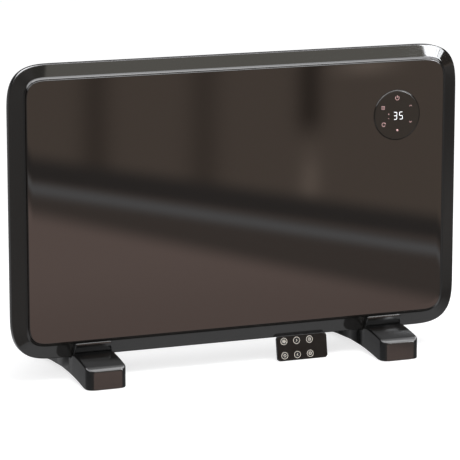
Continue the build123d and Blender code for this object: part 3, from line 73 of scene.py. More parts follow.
def surface_variation():
    """A node group: cloudy noise on object coordinates, as a roughness from Low to High and as a height."""
    group = bpy.data.node_groups.new("surface_variation", "ShaderNodeTree")
    for socket_name, value in (("Scale", 60.0), ("Low", 0.2), ("High", 0.3)):
        socket = group.interface.new_socket(socket_name, in_out="INPUT", socket_type="NodeSocketFloat")
        socket.default_value = value
    group.interface.new_socket("Roughness", in_out="OUTPUT", socket_type="NodeSocketFloat")
    group.interface.new_socket("Height", in_out="OUTPUT", socket_type="NodeSocketFloat")
    source = group.nodes.new("NodeGroupInput")
    target = group.nodes.new("NodeGroupOutput")
    place = group.nodes.new("ShaderNodeTexCoord")
    noise = group.nodes.new("ShaderNodeTexNoise")
    noise.inputs["Detail"].default_value = 3.0
    spread = group.nodes.new("ShaderNodeMapRange")
    spread.inputs["From Min"].default_value = 0.3
    spread.inputs["From Max"].default_value = 0.7
    link = group.links.new
    link(place.outputs["Object"], noise.inputs["Vector"])
    link(source.outputs["Scale"], noise.inputs["Scale"])
    link(noise.outputs[0], spread.inputs["Value"])
    link(source.outputs["Low"], spread.inputs["To Min"])
    link(source.outputs["High"], spread.inputs["To Max"])
    link(spread.outputs[0], target.inputs["Roughness"])
    link(noise.outputs[0], target.inputs["Height"])
    return group


VARIATION = surface_variation()


def look(name, color, rough, metal=0.0, scale=60.0, bump=0.0, ior=1.5, glow=0.0):
    """A Principled material: roughness wavers by ROUGHNESS_SPREAD about rough, with an optional fine bump."""
    material = bpy.data.materials.new(name)
    material.use_nodes = True
    tree = material.node_tree
    shader = tree.nodes["Principled BSDF"]
    shader.inputs["Base Color"].default_value = (*color, 1.0)
    shader.inputs["Metallic"].default_value = metal
    shader.inputs["IOR"].default_value = ior
    group = tree.nodes.new("ShaderNodeGroup")
    group.node_tree = VARIATION
    group.inputs["Scale"].default_value = scale
    group.inputs["Low"].default_value = rough * (1 - ROUGHNESS_SPREAD)
    group.inputs["High"].default_value = rough * (1 + ROUGHNESS_SPREAD)
    tree.links.new(group.outputs["Roughness"], shader.inputs["Roughness"])
    if bump:
        relief = tree.nodes.new("ShaderNodeBump")
        relief.inputs["Strength"].default_value = bump
        relief.inputs["Distance"].default_value = BUMP_DISTANCE
        tree.links.new(group.outputs["Height"], relief.inputs["Height"])
        tree.links.new(relief.outputs["Normal"], shader.inputs["Normal"])
    if glow:
        shader.inputs["Emission Color"].default_value = (*color, 1.0)
        shader.inputs["Emission Strength"].default_value = glow
    return material


FRAME_GLOSS = look("frame_gloss", (0.008, 0.0075, 0.007), 0.05)


def size_and_middle(node):
    """Half the size and the middle of a CAD node's box at rest, in millimetres to three places."""
    low, high = (np.round(np.array(corner) / MM, 3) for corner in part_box(node))
    return (high - low) / 2, (high + low) / 2


def mesh_piece(name, points, faces, material, body="heater", smooth=True):
    """One named object from points in millimetres and faces as index rows, riding on a body."""
    mesh = bpy.data.meshes.new(name)
    mesh.from_pydata((np.asarray(points) * MM).tolist(), [], [list(map(int, face)) for face in faces])
    solid = bmesh.new()
    solid.from_mesh(mesh)
    bmesh.ops.recalc_face_normals(solid, faces=solid.faces)
    solid.to_mesh(mesh)
    solid.free()
    mesh.polygons.foreach_set("use_smooth", [smooth] * len(mesh.polygons))
    mesh.materials.append(material)
    piece = bpy.data.objects.new(name, mesh)
    scene.collection.objects.link(piece)
    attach(piece, body)
    return piece


def strip_faces(rings, count, closed=True):
    """Quads between successive rings of count points; closed joins each ring's end to its start."""
    near = np.arange(count if closed else count - 1)
    far = (near + 1) % count
    start = (np.arange(rings - 1) * count)[:, None]
    quads = np.stack((start + near, start + far, start + count + far, start + count + near), axis=-1)
    return quads.reshape(-1, 4).tolist()


def rounded_outline(half_x, half_z, corner):
    """Points round a soft rounded rectangle, anticlockwise from the right side's foot.

    Each corner is a quarter of the curve |u|^n + |v|^n = r^n, so it eases into the straight sides; r is
    CORNER_REACH times the plain corner radius, and n keeps the corner's middle where the plain arc has it.
    """
    radius = corner * CORNER_REACH
    arcs = []
    for turn, signs in enumerate(((1, 1), (-1, 1), (-1, -1), (1, -1))):
        angle = math.pi / 2 * (turn + np.arange(CORNER_STEPS + 1) / CORNER_STEPS)
        heading = np.column_stack((np.cos(angle), np.sin(angle)))
        size = (np.abs(heading) ** CORNER_POWER).sum(axis=1) ** (1 / CORNER_POWER)
        centre = np.array(signs) * (half_x - radius, half_z - radius)
        arcs.append(centre + radius * heading / size[:, None])
    pieces = []
    for arc, next_arc in zip(arcs, arcs[1:] + arcs[:1]):
        pieces += [arc, np.linspace(arc[-1], next_arc[0], SIDE_STEPS + 1)[1:-1]]
    return np.concatenate(pieces)


frame_half, frame_middle = size_and_middle("front_frame")
glass_half, glass_middle = size_and_middle("glass_panel")
GLASS_FACE_Y = glass_middle[1] - glass_half[1]


def standing(outline, mid_z, depth):
    """An outline of (x, z) points stood up about mid_z: (x, glass face + depth, z + mid_z)."""
    y = np.full(len(outline), GLASS_FACE_Y + depth)
    return np.column_stack((outline[:, 0], y, outline[:, 1] + mid_z))


def band_ring(share, depth):
    """A ring that lies a share of the way in from the frame's outer outline to the glass's seat."""
    return standing(outer * (1 - share) + seat * share, frame_middle[2], depth)


outer = rounded_outline(frame_half[0], frame_half[2], FRAME_CORNER)
seat = rounded_outline(glass_half[0] + SEAT_GAP, glass_half[2] + SEAT_GAP, GLASS_CORNER + SEAT_GAP)
seat = seat + (0.0, glass_middle[2] - frame_middle[2])
ledge = rounded_outline(frame_half[0] - LEDGE_INSET, frame_half[2] - LEDGE_INSET, LEDGE_CORNER)
even = np.linspace(EVEN_START, STEEP_FROM, 10)
steep = np.linspace(STEEP_START, 1.0, 12)
steep_depths = RIM_DEPTH - BAND_RISE * STEEP_FROM - STEEP_RISE * steep ** STEEP_POWER
band_profile = [(SKIRT_SHARE, FRAME_DEPTH), *RIM_EDGE]
band_profile += list(zip(even, RIM_DEPTH - BAND_RISE * even))
band_profile += list(zip(STEEP_FROM + (STEEP_TO - STEEP_FROM) * steep, steep_depths))
band_profile += SEAT_EDGE
band_rings = [band_ring(share, depth) for share, depth in band_profile]
band_rings += [standing(ledge, frame_middle[2], LEDGE_FRONT), standing(ledge, frame_middle[2], LEDGE_BACK)]
band_rings.append(band_ring(SKIRT_SHARE, SKIRT_DEPTH))
band = mesh_piece(
    "frame_band", np.concatenate(band_rings), strip_faces(len(band_rings), len(outer)), FRAME_GLOSS)
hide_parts("front_frame")

# Glass: a tempered black pane, bonded into the frame's seat. Its face is flat, its border falls away in a
# parabola, its edge is a polished quarter round, and a clear round hole takes the lens.
GLASS_REACH, GLASS_DROP, EDGE_REACH, EDGE_DROP = 9.0, 0.14, 1.3, 1.0
PANE_THICK, SIDE_DEPTH, BORDER_START = 4.0, 2.6, 2.2
LENS_X, LENS_Z, LENS_RADIUS = 267.8, 386.0, 40.3
LENS_FIT, HOLE_STEPS = 0.3, 96
FLAT_NORMAL = -0.999999
GLASS_BLACK = look("glass_black", (0.004, 0.003, 0.0025), 0.02, ior=1.52)


def border_depth(inset):
    """Depth of the pane's border at an inset from its edge: drop * (1 - inset / reach)^2."""
    return GLASS_DROP * (1 - inset / GLASS_REACH) ** 2


edge_turn = np.linspace(0, math.pi / 2, 9)
edge_inset = EDGE_REACH * (1 - np.cos(edge_turn))
border_inset = np.linspace(BORDER_START, GLASS_REACH, 7)
pane_profile = [(0.0, PANE_THICK), (0.0, SIDE_DEPTH)]
pane_profile += list(zip(edge_inset, border_depth(edge_inset) + EDGE_DROP * (1 - np.sin(edge_turn))))
pane_profile += list(zip(border_inset, border_depth(border_inset)))
pane_rings = [
    standing(rounded_outline(glass_half[0] - i, glass_half[2] - i, GLASS_CORNER - i), glass_middle[2], depth)
    for i, depth in pane_profile]
pane_count = len(pane_rings[0])
hole_turn = np.linspace(0, 2 * math.pi, HOLE_STEPS, endpoint=False)
hole_circle = (LENS_RADIUS + LENS_FIT) * np.column_stack((np.cos(hole_turn), np.sin(hole_turn)))
hole = standing(hole_circle + (LENS_X, 0.0), LENS_Z, 0.0)
flat_start = len(pane_rings) * pane_count
hole_start = flat_start + pane_count
flat_loops = [[Vector((x, z, 0)) for x, _, z in loop] for loop in (pane_rings[-1], hole[::-1])]
flat_index = [*range(flat_start, hole_start), *range(hole_start + HOLE_STEPS - 1, hole_start - 1, -1)]
pane_faces = strip_faces(len(pane_rings), pane_count)
pane_faces += [[flat_index[i] for i in triangle] for triangle in tessellate_polygon(flat_loops)]
pane_faces += (np.array(strip_faces(2, HOLE_STEPS)) + hole_start).tolist()
pane_points = np.concatenate(pane_rings + [pane_rings[-1], hole, hole + (0.0, PANE_THICK, 0.0)])
pane = mesh_piece("glass_pane", pane_points, pane_faces, GLASS_BLACK)
for polygon in pane.data.polygons:
    polygon.use_smooth = polygon.normal.y > FLAT_NORMAL
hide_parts("glass_panel")

# Lens: a smoked disc over the display, held in the glass's hole and standing a little proud of it, with a
# soft polished chamfer. It is turned about its own axis from (radius, depth) pairs.
LENS_PROUD, LENS_STEPS = 1.5, 128
LENS_SMOKE = look("lens_smoke", (0.012, 0.0105, 0.009), 0.08, ior=1.33)
lens_profile = (
    (LENS_RADIUS, 3.9), (LENS_RADIUS, 0.2), (LENS_RADIUS - 0.02, -0.1), (LENS_RADIUS - 0.2, -0.36),
    (LENS_RADIUS - 0.9, -1.05), (LENS_RADIUS - 1.3, -1.32), (LENS_RADIUS - 1.8, -1.46),
    (LENS_RADIUS - 2.5, -LENS_PROUD), (LENS_RADIUS - 4.3, -LENS_PROUD))
lens_turn = np.linspace(0, 2 * math.pi, LENS_STEPS, endpoint=False)
lens_circle = np.column_stack((np.cos(lens_turn), np.sin(lens_turn)))
lens_rings = [
    standing(radius * lens_circle + (LENS_X, 0.0), LENS_Z, depth)
    for radius, depth in lens_profile]
lens_faces = strip_faces(len(lens_rings), LENS_STEPS)
lens_faces.append(range((len(lens_rings) - 1) * LENS_STEPS, len(lens_rings) * LENS_STEPS))
lens = mesh_piece("touch_disc", np.concatenate(lens_rings), lens_faces, LENS_SMOKE)
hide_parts("touch_lens")

# Feet: two gloss black mouldings that run front to back under the frame and are screwed up into the
# housing. The toes slope down and are rounded, the sole is arched between its pads, and a saddle in the
# top takes the frame's lower edge.
foot_half, foot_middle = size_and_middle("foot_right")
TOE_Y = foot_half[1]
SHOULDER_Y, HEEL_Y, SOLE_Z, TOE_Z, FOOT_Z = -62.0, 54.0, 1.2, 34.5, 44.5
FRONT_CROWN, BACK_CROWN = 1.1, 1.0
TOE_CORNER, TOE_EDGE, TOE_EDGE_FALL = 11.0, 12.0, 0.5
FOOT_ROUND, RISER_ROUND, SOLE_ROUND = 4.0, 2.0, 0.8
ARCH_HALF, ARCH_RISE = 106.0, 9.2
SADDLE = (
    (-52.5, FOOT_Z), (-50.2, 42.0), (-49.4, 37.7), (-35.7, 37.7),
    (-35.7, 51.5), (0.0, 51.5), (HEEL_Y, 51.5), (HEEL_Y, FOOT_Z))
FOOT_GLOSS = look("foot_gloss", (0.004, 0.004, 0.004), 0.17)


def eased(distance, radius):
    """How far a round of a radius stands back at a distance in from its end: r - sqrt(r^2 - (r - d)^2)."""
    short = np.maximum(radius - distance, 0.0)
    return radius - np.sqrt(np.maximum(radius * radius - short * short, 0.0))


def arc_height(y, y0, z0, y1, z1, crown):
    """A shallow arc over a chord: z on the chord plus 4 * crown * s * (1 - s)."""
    s = (y - y0) / (y1 - y0)
    return z0 + (z1 - z0) * s + 4 * crown * s * (1 - s)


def foot_top(y):
    """Height of the foot's top at y: a crowned slope over each toe, and level between them."""
    front = arc_height(y, -TOE_Y, TOE_Z, SHOULDER_Y, FOOT_Z, FRONT_CROWN)
    back = arc_height(y, HEEL_Y, FOOT_Z, TOE_Y, TOE_Z, BACK_CROWN)
    return np.where(y < 0, np.where(y > SHOULDER_Y, FOOT_Z, front), back)


def foot_low(y):
    """Height of the underside at y: flat at the toes, ARCH_RISE * (1 - (y / ARCH_HALF)^2) between them."""
    return np.where(np.abs(y) > ARCH_HALF, SOLE_Z, SOLE_Z + ARCH_RISE * (1 - (y / ARCH_HALF) ** 2))


def foot_sections(y, half, high, top_round, steps=10):
    """Upright sections along the foot, each a rectangle with four round corners, as rings of points."""
    low = foot_low(y)
    arcs = []
    for turn, (sx, sz) in enumerate(((1, 1), (-1, 1), (-1, -1), (1, -1))):
        radius = (top_round if sz > 0 else np.full_like(y, SOLE_ROUND))[:, None]
        angle = math.pi / 2 * (turn + np.arange(steps + 1) / steps)
        x = sx * (half[:, None] - radius) + radius * np.cos(angle)
        z = (high[:, None] - radius if sz > 0 else low[:, None] + radius) + radius * np.sin(angle)
        arcs.append(np.stack((x, np.broadcast_to(y[:, None], x.shape), z), axis=-1))
    return np.concatenate(arcs, axis=1)


def capped_faces(rings, count, both_ends=True):
    """Quads between rings of count points, with a flat cap on the last ring and, if asked, on the first."""
    caps = [range((rings - 1) * count, rings * count)]
    return strip_faces(rings, count) + ([range(count)] if both_ends else []) + caps


toe_in = np.array((0.0, 0.12, 0.45, 1.0, 1.8, 2.8, 4.0, 5.4, 7.0, 8.8, 10.5, 12.0))
toe_half = foot_half[0] - eased(toe_in, TOE_CORNER)
toe_fall = TOE_EDGE_FALL * eased(toe_in, TOE_EDGE)
front_slope, back_slope = np.linspace(-112, SHOULDER_Y, 14), np.linspace(60, 112, 12)
saddle_y, saddle_top = np.array(SADDLE).T
station_y = np.concatenate((toe_in - TOE_Y, front_slope, saddle_y, back_slope, (TOE_Y - toe_in)[::-1]))
station_half = np.full(len(station_y), foot_half[0])
station_half[:len(toe_in)], station_half[-len(toe_in):] = toe_half, toe_half[::-1]
station_top = foot_top(station_y)
station_top[:len(toe_in)] -= toe_fall
station_top[-len(toe_in):] -= toe_fall[::-1]
saddle_at = len(toe_in) + len(front_slope)
station_top[saddle_at:saddle_at + len(SADDLE)] = saddle_top
station_round = np.full(len(station_y), FOOT_ROUND)
station_round[saddle_at:saddle_at + len(SADDLE)][saddle_top > FOOT_Z] = RISER_ROUND
foot_rings = foot_sections(station_y, station_half, station_top, station_round)
foot_faces = capped_faces(foot_rings.shape[0], foot_rings.shape[1])

# Necks: the part of each foot that stands in front of the frame's lower band, as wide as the foot. The
# upper corners and the front edge are rounded, and the face leans out towards its top.
NECK_TOP, NECK_CORNER, NECK_FOOT_Z = 60.5, 3.2, 41.0
NECK_FOOT_HALF, NECK_TOP_HALF = 31.9, 29.8
NECK_LEAN, NECK_BACK_Y = 0.12, -52.6
NECK_EDGE = (
    (0.0, NECK_BACK_Y), (0.0, -59.2), (-0.12, -59.8), (-0.45, -60.4), (-0.9, -60.75), (-1.5, -60.9),
    (-1.9, -61.0))


def neck_outline(grow):
    """The neck's face outline, grown outward by grow: an upright trapezoid with round upper corners."""
    angle = np.linspace(0, math.pi / 2, 13)
    radius = NECK_CORNER + grow
    arc_x = NECK_TOP_HALF - NECK_CORNER + radius * np.cos(angle)
    arc_z = NECK_TOP - NECK_CORNER + radius * np.sin(angle)
    right = np.vstack(((NECK_FOOT_HALF + grow, NECK_FOOT_Z), np.column_stack((arc_x, arc_z))))
    return np.vstack((right, right[::-1] * (-1, 1)))


neck_rings = []
for grow, y in NECK_EDGE:
    face = neck_outline(grow)
    leaning_y = np.minimum(y + NECK_LEAN * (NECK_TOP - face[:, 1]), NECK_BACK_Y)
    neck_rings.append(np.column_stack((face[:, 0], leaning_y, face[:, 1])))
neck_faces = capped_faces(len(neck_rings), len(neck_rings[0]), both_ends=False)
for side_name, side in (("left", -1), ("right", 1)):
    shift = np.array((side * foot_middle[0], 0.0, 0.0))
    bar = mesh_piece(f"foot_bar_{side_name}", foot_rings.reshape(-1, 3) + shift, foot_faces, FOOT_GLOSS)
    neck = mesh_piece(f"foot_neck_{side_name}", np.concatenate(neck_rings) + shift, neck_faces, FOOT_GLOSS)
    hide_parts(f"foot_{side_name}")

# Housing, heater core, electrics, pads and remote: folded and plated sheet steel, mouldings, ceramic, boards
# and rubber. These solids keep their own shapes and only take a finish, one for each slot of the record.
FINISHES = {
    "frame_plastic": FRAME_GLOSS,
    "panel_glass": GLASS_BLACK,
    "lens_smoke": LENS_SMOKE,
    "bond_silicone": look("bond_silicone", (0.03, 0.03, 0.03), 0.6),
    "foot_plastic": FOOT_GLOSS,
    "pad_rubber": look("pad_rubber", (0.03, 0.03, 0.03), 0.75, bump=0.3, scale=900.0),
    "housing_paint": look("housing_paint", (0.02, 0.02, 0.021), 0.42, bump=0.25, scale=1500.0),
    "black_moulding": look("black_moulding", (0.025, 0.025, 0.025), 0.5, bump=0.2, scale=1200.0),
    "rocker_plastic": look("rocker_plastic", (0.02, 0.02, 0.02), 0.15),
    "zinc_steel": look("zinc_steel", (0.55, 0.55, 0.54), 0.32, metal=1.0, scale=400.0),
    "bright_shield": look("bright_shield", (0.8, 0.8, 0.79), 0.25, metal=1.0, scale=40.0),
    "element_aluminium": look("element_aluminium", (0.5, 0.5, 0.5), 0.4, metal=1.0, scale=200.0),
    "rod_steel": look("rod_steel", (0.42, 0.41, 0.39), 0.3, metal=1.0, scale=300.0),
    "ceramic": look("ceramic", (0.75, 0.72, 0.66), 0.6, bump=0.2, scale=800.0),
    "brass_pin": look("brass_pin", (0.7, 0.5, 0.22), 0.3, metal=1.0),
    "box_moulding": look("box_moulding", (0.45, 0.45, 0.43), 0.5, bump=0.2, scale=900.0),
    "circuit_board": look("circuit_board", (0.02, 0.14, 0.05), 0.4),
    "blue_case": look("blue_case", (0.05, 0.13, 0.4), 0.3),
    "digit_case": look("digit_case", (0.08, 0.08, 0.08), 0.3),
    "remote_black": look("remote_gloss", (0.004, 0.004, 0.004), 0.14, ior=1.3),
    "remote_grey": look("remote_grey", (0.04, 0.04, 0.042), 0.5, bump=0.2, scale=1200.0),
    "key_rubber": look("key_rubber", (0.006, 0.006, 0.006), 0.45, ior=1.3),
    "emitter_tint": look("emitter_tint", (0.05, 0.03, 0.07), 0.1),
}
for entry in frame["record"]["subparts"]:
    cad_mesh = frame["nodes"][entry["node"]].data
    cad_mesh.materials.clear()
    cad_mesh.materials.append(FINISHES[entry["material_slot"]])

# Marks on the lens: plain lit touch symbols round the dial and two white digits in its middle, printed
# and lit from behind. Each mark is a flat ribbon that lies a hair's height over the lens.
DIGIT_CUT, DIGIT_STROKE = 0.35, 0.85
DIGIT_LOW, DIGIT_WIDE, DIGIT_HIGH = -6.9, 5.2, 11.4
GRID_PITCH, GRID_DOT = 2.1, 1.1
ICON_GLOW = look("icon_glow", (0.55, 0.33, 0.33), 0.5, glow=0.5)
DIGIT_GLOW = look("digit_glow", (0.85, 0.87, 0.9), 0.5, glow=0.9)


def ribbon(path, width, closed):
    """A ribbon's two edges along a path of (u, v) points: path + and - half the width across it."""
    path = np.asarray(path, dtype=float)
    if closed:
        ahead, behind = np.roll(path, -1, 0), np.roll(path, 1, 0)
    else:
        ahead, behind = np.vstack((path[1:], path[-1:])), np.vstack((path[:1], path[:-1]))
    along = ahead - behind
    along /= np.linalg.norm(along, axis=1)[:, None]
    across = np.column_stack((-along[:, 1], along[:, 0])) * width / 2
    return np.vstack((path + across, path - across))


def ink(name, strokes, material, body, origin, right, up, out, height=0.03):
    """Printed marks: ribbons (path, width, closed) at origin + right * u + up * v + out * height."""
    origin, right, up, out = (np.array(axis, dtype=float) for axis in (origin, right, up, out))
    points, faces, base = [], [], 0
    for path, width, closed in strokes:
        edges = ribbon(path, width, closed)
        points.append(origin + right * edges[:, :1] + up * edges[:, 1:] + out * height)
        faces += (np.array(strip_faces(2, len(edges) // 2, closed)) + base).tolist()
        base += len(edges)
    return mesh_piece(name, np.concatenate(points), faces, material, body, smooth=False)


def arc_path(centre, radius, start, end, steps=28):
    """Points on an arc, angles in degrees anticlockwise from the right."""
    turn = np.radians(np.linspace(start, end, steps))
    return np.column_stack((centre[0] + radius * np.cos(turn), centre[1] + radius * np.sin(turn)))


def segment_digit(left, low, wide, high, lit):
    """The lit bars of a seven-segment digit: a top, b and c right, d foot, e and f left, g middle."""
    right, mid, top = left + wide, low + high / 2, low + high
    bars = {
        "a": ((left + DIGIT_CUT, top), (right - DIGIT_CUT, top)),
        "b": ((right, mid + DIGIT_CUT), (right, top - DIGIT_CUT)),
        "c": ((right, low + DIGIT_CUT), (right, mid - DIGIT_CUT)),
        "d": ((left + DIGIT_CUT, low), (right - DIGIT_CUT, low)),
        "e": ((left, low + DIGIT_CUT), (left, mid - DIGIT_CUT)),
        "f": ((left, mid + DIGIT_CUT), (left, top - DIGIT_CUT)),
        "g": ((left + DIGIT_CUT, mid), (right - DIGIT_CUT, mid))}
    return [(bars[bar], DIGIT_STROKE, False) for bar in lit]


lens_place = ((LENS_X, GLASS_FACE_Y - LENS_PROUD, LENS_Z), (1, 0, 0), (0, 0, 1), (0, -1, 0))
symbol_strokes = [
    (arc_path((-0.1, 27.4), 3.2, 125, 415), 0.6, False),
    (((-0.1, 27.8), (-0.1, 31.4)), 0.6, False),
    (((21.4, 12.9), (23.6, 14.9), (25.8, 12.9)), 0.5, False),
    (((21.4, -11.2), (23.6, -13.2), (25.8, -11.2)), 0.5, False),
    (arc_path((0.6, -24.4), 1.1, 0, 360), 1.0, False),
    (arc_path((-23.5, -14.3), 3.0, 40, 330), 0.7, False),
    (((-21.9, -12.9), (-20.6, -12.2), (-20.3, -14.0)), 0.7, False),
]
for column in (-1, 0, 1):
    for row in (-1, 0, 1):
        spot = np.array((-24.7 + column * GRID_PITCH, 12.7 + row * GRID_PITCH))
        symbol_strokes.append(((spot - (GRID_DOT / 2, 0), spot + (GRID_DOT / 2, 0)), GRID_DOT, False))
ink("lens_symbols", symbol_strokes, ICON_GLOW, "heater", *lens_place)
digit_strokes = segment_digit(-5.8, DIGIT_LOW, DIGIT_WIDE, DIGIT_HIGH, "abgcd")
digit_strokes += segment_digit(4.1, DIGIT_LOW, DIGIT_WIDE, DIGIT_HIGH, "afgcd")
ink("lens_digits", digit_strokes, DIGIT_GLOW, "heater", *lens_place)
small_strokes = [
    (arc_path((-14.7, 2.1), 0.7, 0, 360, 16), 0.4, False),
    (((-15.6, -4.9), (-14.2, -4.9)), 0.5, False),
]
ink("lens_small_marks", small_strokes, ICON_GLOW, "heater", *lens_place)

# Marks on the remote's keys: a ring on each key's cap and a plain sign in it, printed in pale ink with a
# faint painted glow. The card stands on its long edge and leans on the frame, so each sign lies a quarter
# turn round.
LEAN = math.radians(10.0)
CARD_X, CARD_HALF_FLAT, CARD_EDGE_ROUND, KEY_FACE_RISE = 105.0, 19.2, 0.8, 7.2
FRAME_RIM_DEPTH, CARD_CLEARANCE = 7.6, 0.3
KEY_COLUMNS, KEY_ROW, KEY_RING = (-31.5, -9.5, 12.7), 11.4, 5.3
# The ink's glow is painted light: printed ink gives none of its own.
KEY_INK_WITH_PAINTED_GLOW = look("key_ink_painted_glow", (0.8, 0.74, 0.65), 0.45, glow=0.25)
card_out = np.array((0.0, -math.cos(LEAN), math.sin(LEAN)))
card_up = np.array((0.0, math.sin(LEAN), math.cos(LEAN)))
card_middle = np.array((
    CARD_X,
    GLASS_FACE_Y + FRAME_RIM_DEPTH - CARD_CLEARANCE - CARD_HALF_FLAT * math.sin(LEAN)
    - CARD_EDGE_ROUND * (1 - math.cos(LEAN)),
    CARD_HALF_FLAT * math.cos(LEAN) + CARD_EDGE_ROUND * (1 - math.sin(LEAN))))


def gear_path(inner, outer_radius, teeth=8):
    """A closed gear outline: teeth of equal width that step between two radii."""
    start = 360.0 * np.arange(teeth)[:, None] / teeth
    angle = np.radians(start + (-14, -9, 9, 14)).ravel()
    radius = np.tile((inner, outer_radius, outer_radius, inner), teeth)
    return np.column_stack((radius * np.cos(angle), radius * np.sin(angle)))


SIGNS = {
    "power": [(arc_path((0, 0), 2.1, 125, 415), 0.5, False), (((0, 0.6), (0, 2.9)), 0.5, False)],
    "settings": [(gear_path(1.9, 2.6), 0.45, True), (arc_path((0, 0), 0.9, 0, 360), 0.4, False)],
    "up": [(((-1.9, -0.9), (0, 1.0), (1.9, -0.9)), 0.55, False)],
    "down": [(((-1.9, 0.9), (0, -1.0), (1.9, 0.9)), 0.55, False)],
    "mode": [(arc_path((0, 0), 2.2, 0, 360), 0.5, False), (((0, 1.4), (0, 0), (1.1, 0)), 0.45, False)],
    "timer": [
        (((-2.1, -1.6), (-2.1, 1.6), (0, 1.0), (2.1, 1.6), (2.1, -1.6), (0, -2.2)), 0.45, True),
        (((0, 1.0), (0, -2.2)), 0.4, False)],
}
key_places = [(column, row) for column in KEY_COLUMNS for row in (-KEY_ROW, KEY_ROW)]
for (key_name, sign), (u, v) in zip(SIGNS.items(), key_places):
    spot = card_middle + card_out * KEY_FACE_RISE + np.array((u, 0.0, 0.0)) + card_up * v
    ring = [(arc_path((0, 0), KEY_RING, 0, 360, 48), 0.45, False)]
    ink(f"sign_{key_name}", ring + sign, KEY_INK_WITH_PAINTED_GLOW, f"button_{key_name}", spot, card_up, (-1, 0, 0), card_out)

# Floor: white under the camera, with only a faint contact shadow. It glows so that it stays white, and
# reflections look past it to the room.
FLOOR_HALF, FLOOR_GLOW = 9.0, 0.72
floor_mesh = bpy.data.meshes.new("floor")
floor_corners = [(x * FLOOR_HALF, y * FLOOR_HALF, 0) for x, y in ((-1, -1), (1, -1), (1, 1), (-1, 1))]
floor_mesh.from_pydata(floor_corners, [], [(0, 1, 2, 3)])
floor = bpy.data.objects.new("floor", floor_mesh)
scene.collection.objects.link(floor)
floor_white = look("floor_white", (0.5, 0.5, 0.5), 0.9)
floor_shader = floor_white.node_tree.nodes["Principled BSDF"]
floor_shader.inputs["Specular IOR Level"].default_value = 0.0
floor_shader.inputs["Emission Color"].default_value = (1.0, 1.0, 1.0, 1.0)
floor_shader.inputs["Emission Strength"].default_value = FLOOR_GLOW
floor_mesh.materials.append(floor_white)
floor.visible_glossy = False

# Room: white to the camera, and to reflections a studio whose brightness changes with height only. Each
# stop is a height, from 0 straight down over 0.5 level to 1 straight up, and a brightness.
WHITE_STRENGTH, FILL_STRENGTH, FILL_COLOR, ROOM_BLUE = 1.05, 0.7, (0.8, 0.8, 0.82, 1.0), 1.02
ROOM_STOPS = (
    (0.0, 0.05), (0.13, 0.06), (0.2, 0.95), (0.26, 0.95), (0.36, 0.3), (0.5, 0.22), (0.55, 0.12), (0.6, 0.05),
    (0.68, 0.1), (0.72, 6.0), (0.84, 7.0), (0.92, 3.6), (0.985, 0.6), (1.0, 0.2))
world = bpy.data.worlds.new("room")
scene.world = world
world.use_nodes = True
world_tree = world.node_tree
world_tree.nodes.clear()
rays = world_tree.nodes.new("ShaderNodeLightPath")
white = world_tree.nodes.new("ShaderNodeBackground")
white.inputs["Strength"].default_value = WHITE_STRENGTH
fill = world_tree.nodes.new("ShaderNodeBackground")
fill.inputs["Color"].default_value = FILL_COLOR
fill.inputs["Strength"].default_value = FILL_STRENGTH
direction = world_tree.nodes.new("ShaderNodeTexCoord")
split = world_tree.nodes.new("ShaderNodeSeparateXYZ")
height = world_tree.nodes.new("ShaderNodeMapRange")
height.inputs["From Min"].default_value = -1.0
ramp = world_tree.nodes.new("ShaderNodeValToRGB")
stops = ramp.color_ramp.elements
for place, level in ROOM_STOPS:
    stop = stops.new(place) if 0 < place < 1 else stops[0 if place == 0 else -1]
    stop.color = (level, level, level * ROOM_BLUE, 1.0)
studio = world_tree.nodes.new("ShaderNodeBackground")
pick_glossy = world_tree.nodes.new("ShaderNodeMixShader")
pick_camera = world_tree.nodes.new("ShaderNodeMixShader")
world_out = world_tree.nodes.new("ShaderNodeOutputWorld")
world_link = world_tree.links.new
world_link(direction.outputs["Generated"], split.inputs[0])
world_link(split.outputs["Z"], height.inputs["Value"])
world_link(height.outputs[0], ramp.inputs[0])
world_link(ramp.outputs[0], studio.inputs["Color"])
world_link(rays.outputs["Is Glossy Ray"], pick_glossy.inputs[0])
world_link(fill.outputs[0], pick_glossy.inputs[1])
world_link(studio.outputs[0], pick_glossy.inputs[2])
world_link(rays.outputs["Is Camera Ray"], pick_camera.inputs[0])
world_link(pick_glossy.outputs[0], pick_camera.inputs[1])
world_link(white.outputs[0], pick_camera.inputs[2])
world_link(pick_camera.outputs[0], world_out.inputs["Surface"])

# Camera: stands to the heater's left and a little above it, with a long lens. The focal length and the
# picture's width are in pixels.
AZIMUTH, ELEVATION, DISTANCE = math.radians(21.75), math.radians(11.35), 4.208
SENSOR_WIDTH, FOCAL_PIXELS, PICTURE_PIXELS = 36.0, 2682.8, 460
aim = np.array((-0.01859, -0.056, 0.21994))
forward = np.array((
    math.sin(AZIMUTH) * math.cos(ELEVATION), math.cos(AZIMUTH) * math.cos(ELEVATION), -math.sin(ELEVATION)))
camera_data = bpy.data.cameras.new("camera")
camera_data.sensor_width = SENSOR_WIDTH
camera_data.lens = FOCAL_PIXELS / PICTURE_PIXELS * SENSOR_WIDTH
camera_data.dof.use_dof = False
camera = bpy.data.objects.new("camera", camera_data)
scene.collection.objects.link(camera)
camera.location = aim - DISTANCE * forward
camera.rotation_euler = Vector(forward).to_track_quat("-Z", "Y").to_euler()
scene.camera = camera
scene.view_settings.view_transform = "Standard"

